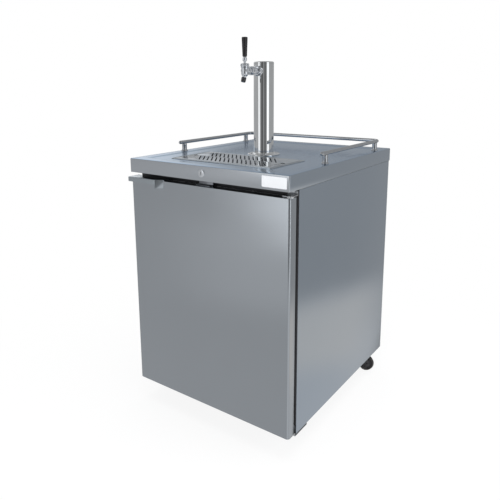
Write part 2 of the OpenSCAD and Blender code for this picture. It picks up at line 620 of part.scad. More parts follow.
module door_bushes() part(WHITE) {
  translate([hinge_x, hinge_y, door_z1]) difference() {
    union() { translate([0, 0, -17]) cylinder(h = 17.5, r = 8); translate([0, 0, 0.05]) cylinder(h = 1.4, r = 10.5); }
    translate([0, 0, -30]) cylinder(h = 40, r = 5.05);
  }
  translate([hinge_x, hinge_y, door_z0]) difference() {
    union() { translate([0, 0, -0.5]) cylinder(h = 17.5, r = 8); translate([0, 0, -1.45]) cylinder(h = 1.4, r = 10.5); }
    translate([0, 0, -10]) cylinder(h = 40, r = 5.05);
  }
}
module door_strike() part(CHROME) {
  bx([-42, 20, door_z1 + 0.05], [19, 39, door_z1 + 1.6]);
  bx([-42, 37.4, door_z1 + 0.05], [19, 39, door_z1 + 16]);
}
module hinge_brackets() part(CHROME) {
  for (t = [0, 1]) {
    z0 = t == 1 ? door_z1 + 2 : door_z0 - 5;
    difference() {
      translate([0, 0, z0]) linear_extrude(3) { rrect(hinge_x - 26, hinge_y - 11, hinge_x + 10, body_y0 - 0.1, 5);
        translate([hinge_x - 26, hinge_y + 10]) square([36, body_y0 - 0.1 - hinge_y - 10]); }
    }
    zl = t == 1 ? z0 : z0 - 9;
    bx([hinge_x - 26, body_y0 - 2.6, zl], [hinge_x + 10, body_y0 - 0.1, zl + (t == 1 ? 15 : 12)]);
    cz(hinge_x, hinge_y, t == 1 ? z0 - 18 : z0 + 1, t == 1 ? z0 + 2 : z0 + 21, 5);
    cz(hinge_x, hinge_y, t == 1 ? z0 + 2.9 : z0 - 2.4, t == 1 ? z0 + 5.4 : z0 + 0.1, 7.5);
  }
}

// ---------------------------------------------------------------- casters
module caster_plates() part(ZINC) for (c = CASTERS) difference() {
  union() {
    translate([0, 0, body_z0 - 3]) linear_extrude(3) rrect(c[0] - 37, c[1] - 37, c[0] + 37, c[1] + 37, 6);
    cz(c[0], c[1], 69, body_z0 - 2.9, 5);
    cz(c[0], c[1], 67, 69.5, 8.5);
  }
  for (x = [-27, 27], y = [-27, 27]) cz(c[0] + x, c[1] + y, body_z0 - 5, body_z0 + 1, 4.25);
}
module fork_cheek() linear_extrude(2.5) {
  polygon([[-16, 74], [18, 74], [trail + 9, axle_z], [trail - 9, axle_z]]);
  translate([trail, axle_z]) circle(9);
  translate([-16, 73.9]) square([34, 3]);
}
module caster_fork(c) part([0.10, 0.10, 0.11]) translate([c[0], c[1], 0]) rotate([0, 0, c[2]]) {
  difference() {
    union() {
      cz(0, 0, 74, crown_z, 22);
      bx([-16, -17.5, 70.2], [18, 17.5, 77]);
    }
    cz(0, 0, 60, 90, 5.05);
  }
  for (s = [-1, 1]) translate([0, s > 0 ? 17.5 : -15, 0]) rotate([90, 0, 0]) fork_cheek();
  cy(trail, -19.5, 19.5, axle_z, 4);
  for (s = [-1, 1]) translate([trail, s > 0 ? 17.4 : -20.9, axle_z]) rotate([-90, 0, 0]) cylinder(h = 3.5, r = 6.5, $fn = 6);
}
module caster_wheel(c) part([0.06, 0.06, 0.06]) translate([c[0], c[1], 0]) rotate([0, 0, c[2]])
  translate([trail, 0, axle_z]) rotate([90, 0, 0]) rotate_extrude($fn = 64) {
    r = wheel_dia / 2; h = wheel_w / 2;
    polygon([[4.05, -14.2], [9, -14.2], [10, -h + 2.5], [r - 9, -h + 2.5], [r - 8, -h], [r - 3, -h], [r, -h + 4],
      [r, h - 4], [r - 3, h], [r - 8, h], [r - 9, h - 2.5], [10, h - 2.5], [9, 14.2], [4.05, 14.2]]);
  }
module caster_fork_fr() caster_fork(CASTER_FR);
module caster_fork_fl() caster_fork(CASTER_FL);
module caster_fork_rr() caster_fork(CASTER_RR);
module caster_fork_rl() caster_fork(CASTER_RL);
module caster_wheel_fr() caster_wheel(CASTER_FR);
module caster_wheel_fl() caster_wheel(CASTER_FL);
module caster_wheel_rr() caster_wheel(CASTER_RR);
module caster_wheel_rl() caster_wheel(CASTER_RL);

base_frame();
side_panel_left();
side_panel_right();
rear_bulkhead();
rear_grille();
front_sill();
breaker_frame();
liner_panels();
insulation();
worktop();
label_plate();
drip_tray_pan();
drain_spout();
tower_column();
screws();
tower_cap();
tower_insulation();
shank();
shank_flange();
shank_nut();
coupling_nut();
faucet_body();
faucet_bonnet();
beer_line();
gallery_rail();
rail_posts();
lock_barrel();
hinge_brackets();
evaporator_cover();
evaporator_coil();
compressor();
condenser();
condenser_shroud();
refrigerant_lines();
power_inlet();
gas_grommets();
caster_plates();
door_skin();
door_foam();
door_liner();
door_gasket();
door_pull();
door_bushes();
door_strike();
lock_plug();
tap_lever();
tap_handle();
valve_shaft();
drip_grid();
evaporator_fan();
thermostat_knob();
condenser_fan();
caster_fork_fr();
caster_fork_fl();
caster_fork_rr();
caster_fork_rl();
caster_wheel_fr();
caster_wheel_fl();
caster_wheel_rr();
caster_wheel_rl();
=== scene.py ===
"""Looks of a single-tap draft beer cooler: brushed stainless cabinet on casters,
worktop with drip tray and gallery rail, polished column tower with one faucet."""
import json
import math

import bmesh
import bpy
from mathutils import Matrix, Vector
from mathutils.geometry import tessellate_polygon


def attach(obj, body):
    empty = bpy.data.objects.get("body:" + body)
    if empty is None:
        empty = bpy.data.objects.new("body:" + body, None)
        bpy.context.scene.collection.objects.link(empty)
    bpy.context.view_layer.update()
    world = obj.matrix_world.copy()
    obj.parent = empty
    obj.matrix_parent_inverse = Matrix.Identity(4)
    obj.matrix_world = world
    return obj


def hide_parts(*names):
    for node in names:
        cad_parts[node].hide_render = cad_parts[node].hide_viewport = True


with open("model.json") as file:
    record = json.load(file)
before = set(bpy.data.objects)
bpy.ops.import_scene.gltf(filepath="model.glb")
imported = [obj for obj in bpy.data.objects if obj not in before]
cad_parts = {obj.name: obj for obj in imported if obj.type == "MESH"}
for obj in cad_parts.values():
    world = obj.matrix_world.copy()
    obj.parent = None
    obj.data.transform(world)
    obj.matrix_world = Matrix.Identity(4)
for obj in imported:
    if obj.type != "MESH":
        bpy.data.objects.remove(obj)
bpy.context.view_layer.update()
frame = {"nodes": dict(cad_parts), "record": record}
NODES = frame["nodes"]
SC = bpy.context.scene

YC = 394.5  # the working coordinates below are millimetres, Y from the worktop's front edge


def P(x, y, z):
    return Vector((x * 0.001, (y - YC) * 0.001, z * 0.001))


# ------------------------------------------------------------------ camera
def make_camera():
    cx, cy, cz = 1140.85, -1324.35, 1245.43
    yaw, pitch, roll = (math.radians(a) for a in (35.432, 11.422, -0.285))
    d = Vector((-math.sin(yaw) * math.cos(pitch), math.cos(yaw) * math.cos(pitch), -math.sin(pitch)))
    r = Vector((math.cos(yaw), math.sin(yaw), 0.0))
    u = r.cross(d)
    r2 = r * math.cos(roll) + u * math.sin(roll)
    u2 = -r * math.sin(roll) + u * math.cos(roll)
    m = Matrix((r2, u2, -d)).transposed().to_4x4()
    m.translation = P(cx, cy, cz)
    cam = bpy.data.cameras.new("camera")
    cam.sensor_width = 36.0
    cam.lens = 531.17 / 500 * 36
    cam.shift_y = -0.12
    cam.clip_start, cam.clip_end = 0.05, 60
    o = bpy.data.objects.new("camera", cam)
    o.matrix_world = m
    SC.collection.objects.link(o)
    SC.camera = o


make_camera()


# ------------------------------------------------------------------ node helpers
class Tree:
    """A small builder for shader nodes."""

    def __init__(self, tree):
        self.t = tree
        tree.nodes.clear()

    def n(self, kind, **kw):
        node = self.t.nodes.new(kind)
        ins = kw.pop("ins", {})
        for k, v in kw.items():
            setattr(node, k, v)
        for k, v in ins.items():
            self.put(node.inputs[k], v)
        return node

    def put(self, socket, v):
        if isinstance(v, bpy.types.NodeSocket):
            self.t.links.new(v, socket)
        else:
            socket.default_value = v

    def math(self, op, a, b=0.0, c=0.0, clamp=False):
        node = self.n("ShaderNodeMath", operation=op, use_clamp=clamp)
        self.put(node.inputs[0], a)
        self.put(node.inputs[1], b)
        if op in ("MULTIPLY_ADD", "SMOOTH_MIN", "SMOOTH_MAX", "WRAP"):
            self.put(node.inputs[2], c)
        return node.outputs[0]

    def ramp(self, v, a, b, lo=0.0, hi=1.0, smooth=True):
        node = self.n("ShaderNodeMapRange", interpolation_type="SMOOTHSTEP" if smooth else "LINEAR", clamp=True)
        for i, x in enumerate((v, a, b, lo, hi)):
            self.put(node.inputs[i], x)
        return node.outputs[0]

    def mix(self, f, a, b):
        node = self.n("ShaderNodeMix", data_type="RGBA")
        self.put(node.inputs[0], f)
        self.put(node.inputs[6], a)
        self.put(node.inputs[7], b)
        return node.outputs[2]

    def scaled(self, vec, s, off=(0.0, 0.0, 0.0)):
        node = self.n("ShaderNodeMapping", vector_type="POINT")
        self.put(node.inputs["Vector"], vec)
        node.inputs["Scale"].default_value = s
        node.inputs["Location"].default_value = off
        return node.outputs[0]

    def noise(self, vec, scale=1.0, detail=2.0, rough=0.5, distort=0.0):
        node = self.n("ShaderNodeTexNoise")
        self.put(node.inputs["Vector"], vec)
        node.inputs["Scale"].default_value = scale
        node.inputs["Detail"].default_value = detail
        node.inputs["Roughness"].default_value = rough
        node.inputs["Distortion"].default_value = distort
        return node.outputs[0]

    def bump(self, height, strength, dist, normal=None):
        node = self.n("ShaderNodeBump")
        node.inputs["Strength"].default_value = strength
        node.inputs["Distance"].default_value = dist
        self.put(node.inputs["Height"], height)
        if normal is not None:
            self.put(node.inputs["Normal"], normal)
        return node.outputs[0]


MATS = {}


def material(name):
    m = bpy.data.materials.new(name)
    m.use_nodes = True
    t = Tree(m.node_tree)
    out = t.n("ShaderNodeOutputMaterial")
    bsdf = t.n("ShaderNodeBsdfPrincipled")
    t.t.links.new(bsdf.outputs[0], out.inputs[0])
    co = t.n("ShaderNodeTexCoord").outputs["Object"]
    MATS[name] = m
    return m, t, bsdf, co


def rgb(r, g, b):
    return (r, g, b, 1.0)


def brushed(name, base, grain, rough=(0.24, 0.36), depth=0.0000015, blotch=0.018, fine=1.0, aniso=0.0, scuff=0.0,
            lines=0.018, wave=0.00012, radial=False):
    """Brushed sheet metal. grain is 'X', 'Y' or 'Z', the direction of the brush lines."""
    m, t, b, co = material(name)
    long, cross = 6.0, 1500.0 * fine
    s = {"X": (long, cross, cross), "Y": (cross, long, cross), "Z": (cross, cross, long)}[grain]
    s2 = tuple(v * (0.3 if v > 100 else 0.5) for v in s)
    g1 = t.noise(t.scaled(co, s), 1.0, 3.0, 0.6)
    g2 = t.noise(t.scaled(co, s2, (3.1, 1.7, 0.4)), 1.0, 2.0, 0.5)
    g = t.math("ADD", t.math("MULTIPLY", g1, 0.7), t.math("MULTIPLY", g2, 0.3))
    big = t.noise(co, 2.6, 3.0, 0.55, 0.4)
    mid = t.noise(co, 14.0, 3.0, 0.6, 0.2)
    hazy = t.math("ADD", t.math("MULTIPLY", big, 0.65), t.math("MULTIPLY", mid, 0.35))
    dark = rgb(*(c * (1 - blotch) for c in base))
    light = rgb(*(min(1.0, c * (1 + blotch)) for c in base))
    col = t.mix(t.ramp(hazy, 0.3, 0.7), dark, light)
    stripe = t.mix(t.ramp(g, 0.3, 0.7), rgb(*(c * (1 - lines) for c in base)), rgb(*(min(1.0, c * (1 + lines)) for c in base)))
    col = t.mix(0.5, col, stripe)
    r = t.ramp(t.math("ADD", t.math("MULTIPLY", g, 0.4), t.math("MULTIPLY", hazy, 0.6)), 0.3, 0.7, rough[0], rough[1])
    if scuff:
        sc = t.noise(t.scaled(co, (60, 60, 60)), 1.0, 6.0, 0.7, 1.5)
        mask = t.math("MULTIPLY", t.ramp(sc, 0.62, 0.74), scuff)
        col = t.mix(mask, col, rgb(*(c * 0.8 for c in base)))
        r = t.math("ADD", r, t.math("MULTIPLY", mask, 0.12))
    t.put(b.inputs["Base Color"], col)
    t.put(b.inputs["Roughness"], r)
    b.inputs["Metallic"].default_value = 1.0
    if aniso:
        b.inputs["Anisotropic"].default_value = aniso
    if radial:
        tg = t.n("ShaderNodeTangent", direction_type="RADIAL", axis=radial)
        t.put(b.inputs["Tangent"], tg.outputs[0])
    n0 = t.bump(t.noise(co, 4.0, 1.0, 0.4), 0.5, wave)
    t.put(b.inputs["Normal"], t.bump(g1, 1.0, depth, n0))
    return m


def polished(name, base, rough=(0.03, 0.09), ripple=0.00004, smear=0.5):
    m, t, b, co = material(name)
    sm = t.noise(t.scaled(co, (22, 22, 9)), 1.0, 4.0, 0.6, 0.6)
    fine = t.noise(t.scaled(co, (420, 420, 60)), 1.0, 2.0, 0.5)
    col = t.mix(t.ramp(sm, 0.3, 0.75), rgb(*base), rgb(*(c * 0.93 for c in base)))
    t.put(b.inputs["Base Color"], col)
    t.put(b.inputs["Roughness"], t.ramp(t.math("ADD", t.math("MULTIPLY", sm, smear), t.math("MULTIPLY", fine, 1 - smear)), 0.3, 0.75, *rough))
    b.inputs["Metallic"].default_value = 1.0
    n0 = t.bump(t.noise(co, 30.0, 1.0, 0.4), 0.4, ripple)
    t.put(b.inputs["Normal"], t.bump(fine, 0.5, 0.000006, n0))
    return m


def plated(name, base, rough=(0.28, 0.45), cell=90.0, spangle=0.12):
    """Zinc or galvanised sheet, with its crystal spangle."""
    m, t, b, co = material(name)
    v = t.n("ShaderNodeTexVoronoi", feature="F1")
    t.put(v.inputs["Vector"], co)
    v.inputs["Scale"].default_value = cell
    grey = t.n("ShaderNodeSeparateColor")
    t.put(grey.inputs[0], v.outputs["Color"])
    g = grey.outputs[0]
    nz = t.noise(co, 25.0, 4.0, 0.6)
    col = t.mix(g, rgb(*(c * (1 - spangle) for c in base)), rgb(*(min(1, c * (1 + spangle)) for c in base)))
    col = t.mix(t.ramp(nz, 0.55, 0.8, 0, 0.35), col, rgb(*(c * 0.75 for c in base)))
    t.put(b.inputs["Base Color"], col)
    t.put(b.inputs["Roughness"], t.ramp(t.math("ADD", t.math("MULTIPLY", g, 0.4), t.math("MULTIPLY", nz, 0.6)), 0.2, 0.8, *rough))
    b.inputs["Metallic"].default_value = 1.0
    t.put(b.inputs["Normal"], t.bump(nz, 0.3, 0.0003))
    return m


def plastic(name, base, rough=(0.3, 0.42), grain=600.0, depth=0.00004, tint=0.08, spec=0.5, coat=0.0):
    m, t, b, co = material(name)
    g = t.noise(co, grain, 3.0, 0.6)
    big = t.noise(co, 11.0, 4.0, 0.6)
    col = t.mix(t.ramp(big, 0.3, 0.7), rgb(*(c * (1 - tint) for c in base)), rgb(*(min(1.0, c * (1 + tint) + 0.002) for c in base)))
    t.put(b.inputs["Base Color"], col)
    t.put(b.inputs["Roughness"], t.ramp(t.math("ADD", t.math("MULTIPLY", g, 0.4), t.math("MULTIPLY", big, 0.6)), 0.3, 0.7, *rough))
    b.inputs["Specular IOR Level"].default_value = spec
    if coat:
        b.inputs["Coat Weight"].default_value = coat
        b.inputs["Coat Roughness"].default_value = 0.06
    t.put(b.inputs["Normal"], t.bump(g, 0.6, depth))
    return m


def dusty_rubber(name, base, dust=0.25):
    m, t, b, co = material(name)
    g = t.noise(co, 350.0, 4.0, 0.65)
    big = t.noise(co, 28.0, 4.0, 0.6, 0.5)
    col = t.mix(t.ramp(big, 0.4, 0.75, 0.0, dust), rgb(*base), rgb(0.16, 0.155, 0.15))
    t.put(b.inputs["Base Color"], col)
    t.put(b.inputs["Roughness"], t.ramp(big, 0.3, 0.7, 0.5, 0.75))
    b.inputs["Specular IOR Level"].default_value = 0.35
    t.put(b.inputs["Normal"], t.bump(g, 0.5, 0.0001))
    return m


STEEL = (0.545, 0.572, 0.60)
brushed("brushed_front", STEEL, "Z", rough=(0.19, 0.225), aniso=0.6)
brushed("brushed_side", (0.515, 0.57, 0.63), "Z", rough=(0.17, 0.20), aniso=0.6)
brushed("brushed_back", STEEL, "Z", rough=(0.26, 0.34), scuff=0.25)
# painted shade and reflection: the worktop's steel is a darker, bluer copy of the door's, standing in for the dim cool
# light its top reflects
brushed("brushed_top_painted_shade", (0.41, 0.53, 0.675), "X", rough=(0.17, 0.22), scuff=0.06)
# painted light: the apron's steel is a lighter copy of the door's, brighter where the front of the worktop catches more
# light
brushed("brushed_apron_painted_light", (0.655, 0.68, 0.71), "X", rough=(0.22, 0.27), scuff=0.05)
brushed("brushed_pull", (0.54, 0.58, 0.61), "X", rough=(0.18, 0.24))
brushed("brushed_rail", (0.58, 0.59, 0.605), "Y", rough=(0.16, 0.24), fine=1.6, depth=0.000005)
brushed("brushed_pan", (0.56, 0.60, 0.63), "X", rough=(0.14, 0.20))
# painted light: the pan's inside is a much lighter copy of the pan steel, so the shaded well seen through the grid
# slots looks lit
brushed("pan_well_painted_light", (0.90, 0.92, 0.94), "X", rough=(0.45, 0.6), blotch=0.05)
polished("polished_steel", (0.88, 0.88, 0.87), rough=(0.035, 0.085))
polished("polished_grid", (0.60, 0.64, 0.68), rough=(0.10, 0.18))
polished("chrome", (0.90, 0.92, 0.95), rough=(0.06, 0.12), ripple=0.00001)
plated("zinc", (0.62, 0.63, 0.64), cell=220.0, spangle=0.06)
# painted shade: a darker copy of the zinc for the strike, which sits in the shaded gap under the worktop
plated("strike_zinc_painted_shade", (0.30, 0.31, 0.33), cell=260.0, spangle=0.05)
plated("galvanised", (0.55, 0.56, 0.57), cell=70.0, spangle=0.15)
plated("aluminium", (0.72, 0.73, 0.74), rough=(0.25, 0.4), cell=300.0, spangle=0.05)
plated("copper", (0.78, 0.42, 0.27), rough=(0.22, 0.42), cell=120.0, spangle=0.08)
brushed("dark_metal", (0.16, 0.17, 0.18), "X", rough=(0.32, 0.42))
plastic("black_metal", (0.018, 0.018, 0.020), rough=(0.28, 0.45), grain=240.0, depth=0.00012, spec=0.5)
plastic("black_plastic", (0.016, 0.016, 0.018), rough=(0.32, 0.5), grain=700.0, depth=0.00006)
plastic("handle_black", (0.010, 0.009, 0.010), rough=(0.10, 0.22), grain=120.0, depth=0.00001, spec=0.4, coat=0.2)
plastic("white_plastic", (0.74, 0.75, 0.755), rough=(0.28, 0.42), grain=260.0, depth=0.00008, tint=0.03)
plastic("label_white", (0.70, 0.715, 0.74), rough=(0.22, 0.32), grain=500.0, depth=0.00001, tint=0.02, coat=0.3)
plastic("foam", (0.74, 0.62, 0.36), rough=(0.75, 0.9), grain=520.0, depth=0.0005, tint=0.12, spec=0.2)
plastic("beer_tube", (0.62, 0.68, 0.70), rough=(0.12, 0.25), grain=60.0, depth=0.00001, tint=0.04)
dusty_rubber("gasket_rubber", (0.015, 0.015, 0.017), dust=0.12)
dusty_rubber("tyre_rubber", (0.018, 0.017, 0.017), dust=0.35)

NODE_MAT = {
    "base_frame": "galvanised", "side_panel_left": "brushed_side", "side_panel_right": "brushed_side",
    "rear_bulkhead": "galvanised", "rear_grille": "brushed_back", "front_sill": "dark_metal",
    "breaker_frame": "black_plastic", "liner_panels": "aluminium", "insulation": "foam",
    "worktop": "brushed_top_painted_shade", "label_plate": "label_white", "drip_tray_pan": "brushed_pan",
    "drain_spout": "black_plastic", "tower_column": "polished_steel", "screws": "chrome",
    "tower_cap": "polished_steel", "tower_insulation": "foam", "shank": "chrome", "shank_flange": "chrome",
    "shank_nut": "zinc", "coupling_nut": "chrome", "faucet_body": "chrome", "faucet_bonnet": "chrome",
    "beer_line": "beer_tube", "gallery_rail": "brushed_rail", "rail_posts": "brushed_rail",
    "lock_barrel": "chrome", "hinge_brackets": "zinc", "evaporator_cover": "white_plastic",
    "evaporator_coil": "aluminium", "compressor": "black_metal", "condenser": "aluminium",
    "condenser_shroud": "dark_metal", "refrigerant_lines": "copper", "power_inlet": "black_plastic",
    "gas_grommets": "gasket_rubber", "caster_plates": "zinc", "door_skin": "brushed_front",
    "door_foam": "foam", "door_liner": "white_plastic", "door_gasket": "gasket_rubber",
    "door_pull": "brushed_front", "door_bushes": "white_plastic", "door_strike": "strike_zinc_painted_shade",
    "lock_plug": "chrome", "tap_lever": "chrome", "tap_handle": "handle_black", "valve_shaft": "zinc",
    "drip_grid": "polished_grid", "evaporator_fan": "black_plastic", "thermostat_knob": "black_plastic",
    "condenser_fan": "dark_metal",
    "caster_fork_fr": "black_metal", "caster_fork_fl": "black_metal",
    "caster_fork_rr": "black_metal", "caster_fork_rl": "black_metal",
    "caster_wheel_fr": "tyre_rubber", "caster_wheel_fl": "tyre_rubber",
    "caster_wheel_rr": "tyre_rubber", "caster_wheel_rl": "tyre_rubber",
}
for node_name, o in NODES.items():
    mat = MATS[NODE_MAT[node_name]]
    if not o.data.materials:
        o.data.materials.append(mat)
    for i in range(len(o.data.materials)):
        o.data.materials[i] = mat


# ------------------------------------------------------------------ mesh helpers
def finish_mesh(bm, name, mat, body, replaces=(), sharp=32.0, flip_check=True):
    bmesh.ops.remove_doubles(bm, verts=bm.verts, dist=1e-7)
    bmesh.ops.recalc_face_normals(bm, faces=bm.faces)
    for f in bm.faces:
        f.smooth = True
    lim = math.radians(sharp)
    for ed in bm.edges:
        ed.smooth = not (len(ed.link_faces) != 2 or ed.calc_face_angle(0.0) > lim)
    me = bpy.data.meshes.new(name)
    bm.to_mesh(me)
    bm.free()
    me.materials.append(MATS[mat])
    o = bpy.data.objects.new(name, me)
    SC.collection.objects.link(o)
    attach(o, body)
    if replaces:
        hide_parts(*([replaces] if isinstance(replaces, str) else replaces))
    return o


def add_faces(bm, verts, faces):
    vs = [bm.verts.new(P(*v)) for v in verts]
    for f in faces:
        try:
            bm.faces.new([vs[i] for i in f])
        except ValueError:
            pass
    return vs


def rr_loop(x0, y0, x1, y1, r, n=8):
    """Rounded rectangle as a closed loop of 4 * (n + 1) points, anticlockwise."""
    r = max(r, 1e-4)
    pts = []
    for cx, cy, a0 in ((x1 - r, y1 - r, 0), (x0 + r, y1 - r, 90), (x0 + r, y0 + r, 180), (x1 - r, y0 + r, 270)):
        for k in range(n + 1):
            a = math.radians(a0 + 90 * k / n)
            pts.append((cx + r * math.cos(a), cy + r * math.sin(a)))
    return pts


def rings(bm, loops, closed=True, cap0=False, cap1=False):
    """Bands of quads between loops of equal length. Each loop is a list of (x, y, z)."""
    vs = [[bm.verts.new(P(*p)) for p in lp] for lp in loops]
    n = len(loops[0])
    for a, b in zip(vs, vs[1:]):
        for k in range(n if closed else n - 1):
            j = (k + 1) % n
            try:
                bm.faces.new((a[k], a[j], b[j], b[k]))
            except ValueError:
                pass
    if cap0:
        bm.faces.new(vs[0])
    if cap1:
        bm.faces.new(vs[-1])
    return vs


def holed(bm, outer, holes):
    """Flat face with holes, from existing BMVert loops."""
    polys = [[v.co for v in outer]] + [[v.co for v in h] for h in holes]
    flat = list(outer) + [v for h in holes for v in h]
    for tri in tessellate_polygon(polys):
        try:
            bm.faces.new([flat[i] for i in tri])
        except ValueError:
            pass


def arc(cx, cy, r, a0, a1, n):
    return [(cx + r * math.cos(math.radians(a0 + (a1 - a0) * k / n)), cy + r * math.sin(math.radians(a0 + (a1 - a0) * k / n)))
            for k in range(n + 1)]


def lathe_into(bm, prof, m, segs=64, closed=False):
    """prof: [(radius, height)], turned round the local Z of matrix m (mm, working coordinates)."""
    rows = []
    for r, h in prof:
        if r < 1e-6:
            rows.append([bm.verts.new(P(*(m @ Vector((0, 0, h)))))])
        else:
            rows.append([bm.verts.new(P(*(m @ Vector((r * math.cos(2 * math.pi * k / segs), r * math.sin(2 * math.pi * k / segs), h)))))
                         for k in range(segs)])
    pairs = list(zip(rows, rows[1:]))
    if closed:
        pairs.append((rows[-1], rows[0]))
    for a, b in pairs:
        for k in range(segs):
            j = (k + 1) % segs
            if len(a) == 1 and len(b) == 1:
                continue
            if len(a) == 1:
                f = (a[0], b[j], b[k])
            elif len(b) == 1:
                f = (a[k], a[j], b[0])
            else:
                f = (a[k], a[j], b[j], b[k])
            try:
                bm.faces.new(f)
            except ValueError:
                pass
    return rows


def at(x, y, z, axis="Z", tilt=0.0):
    m = Matrix.Translation((x, y, z))
    if axis == "Y":
        m = m @ Matrix.Rotation(math.radians(-90), 4, "X")
    elif axis == "-Y":
        m = m @ Matrix.Rotation(math.radians(90), 4, "X")
    elif axis == "X":
        m = m @ Matrix.Rotation(math.radians(90), 4, "Y")
    if tilt:
        m = m @ Matrix.Rotation(math.radians(tilt), 4, "X")
    return m


def lathe(name, prof, m, mat, body, replaces=(), segs=64, closed=False, sharp=32.0):
    bm = bmesh.new()
    lathe_into(bm, prof, m, segs, closed)
    return finish_mesh(bm, name, mat, body, replaces, sharp)


def rbox_into(bm, a, b, r=1.0, segs=2):
    t = bmesh.new()
    vs = [t.verts.new(P(x, y, z)) for z in (a[2], b[2]) for y in (a[1], b[1]) for x in (a[0], b[0])]
    for f in ((0, 2, 3, 1), (4, 5, 7, 6), (0, 1, 5, 4), (2, 6, 7, 3), (0, 4, 6, 2), (1, 3, 7, 5)):
        t.faces.new([vs[i] for i in f])
    if r > 0:
        bmesh.ops.bevel(t, geom=list(t.edges), offset=r * 0.001, segments=segs, profile=0.5, affect="EDGES", clamp_overlap=True)
    merge(bm, t)


def merge(bm, other, matrix=None):
    me = bpy.data.meshes.new("tmp")
    other.to_mesh(me)
    other.free()
    if matrix is not None:
        me.transform(matrix)
    bm.from_mesh(me)
    bpy.data.meshes.remove(me)


def prism_into(bm, pts, z0, z1, r=0.6, segs=2, to=None):
    """Extruded outline with bevelled edges. to maps (u, v, w) to working coordinates."""
    to = to or (lambda u, v, w: (u, v, w))
    t = bmesh.new()
    lo = [t.verts.new(P(*to(x, y, z0))) for x, y in pts]
    hi = [t.verts.new(P(*to(x, y, z1))) for x, y in pts]
    n = len(pts)
    t.faces.new(lo)
    t.faces.new(hi)
    for k in range(n):
        j = (k + 1) % n
        t.faces.new((lo[k], lo[j], hi[j], hi[k]))
    bmesh.ops.recalc_face_normals(t, faces=t.faces)
    if r > 0:
        ed = [x for x in t.edges if x.calc_face_angle(0) > math.radians(25)]
        bmesh.ops.bevel(t, geom=ed, offset=r * 0.001, segments=segs, profile=0.5, affect="EDGES", clamp_overlap=True)
    merge(bm, t)


def tube_into(bm, pts, r, segs=24, round_ends=True, closed=False):
    """Round tube swept along points (mm), with domed ends."""
    pts = [Vector(p) for p in pts]
    n = len(pts)
    tang = []
    for i in range(n):
        if closed:
            tang.append((pts[(i + 1) % n] - pts[i - 1]).normalized())
        else:
            tang.append((pts[min(i + 1, n - 1)] - pts[max(i - 1, 0)]).normalized())
    side = tang[0].orthogonal().normalized()
    loops = []

    def loop(c, t, s, rad):
        u = t.cross(s)
        return [tuple(c + rad * (math.cos(2 * math.pi * k / segs) * s + math.sin(2 * math.pi * k / segs) * u)) for k in range(segs)]

    caps = 6 if round_ends and not closed else 0
    for i in range(n):
        if i:
            side = (side - tang[i] * side.dot(tang[i])).normalized()
        if i == 0 and caps:
            for k in range(caps, 0, -1):
                a = math.pi / 2 * k / caps
                if k == caps:
                    a *= 0.985
                loops.append(loop(pts[0] - tang[0] * r * math.sin(a), tang[0], side, r * math.cos(a)))
        loops.append(loop(pts[i], tang[i], side, r))
        if i == n - 1 and caps:
            for k in range(1, caps + 1):
                a = math.pi / 2 * k / caps
                if k == caps:
                    a *= 0.985
                loops.append(loop(pts[i] + tang[i] * r * math.sin(a), tang[i], side, r * math.cos(a)))
    if closed:
        loops.append(loops[0])
        rings(bm, loops)
        bmesh.ops.remove_doubles(bm, verts=bm.verts, dist=1e-7)
    else:
        rings(bm, loops, cap0=True, cap1=True)


def boolean(o, cutter, op="DIFFERENCE"):
    md = o.modifiers.new("b", "BOOLEAN")
    md.operation = op
    md.solver = "EXACT"
    md.object = cutter
    dg = bpy.context.evaluated_depsgraph_get()
    me = bpy.data.meshes.new_from_object(o.evaluated_get(dg))
    o.modifiers.clear()
    old = o.data
    o.data = me
    me.name = old.name
    bpy.data.meshes.remove(old)
    bpy.data.objects.remove(cutter)


def loose(bm, name="cut"):
    bmesh.ops.recalc_face_normals(bm, faces=bm.faces)
    me = bpy.data.meshes.new(name)
    bm.to_mesh(me)
    bm.free()
    o = bpy.data.objects.new(name, me)
    SC.collection.objects.link(o)
    return o


def resmooth(o, sharp=32.0):
    bm = bmesh.new()
    bm.from_mesh(o.data)
    lim = math.radians(sharp)
    for f in bm.faces:
        f.smooth = True
    for ed in bm.edges:
        ed.smooth = not (len(ed.link_faces) != 2 or ed.calc_face_angle(0.0) > lim)
    bm.to_mesh(o.data)
    bm.free()


# ------------------------------------------------------------------ dimensions
HW = 343.0
TOP_D = 805.0
TOP_Z = 976.0
DECK = 973.5
APRON = 925.0
RIM = 48.0
DZ0, DZ1 = 94.0, 904.5
DY0, DY1 = 4.0, 42.5
TOWER_Y = 372.0
SHANK_Z = 1288.0
TAP_Y = 251.0
PIVOT = 1304.0


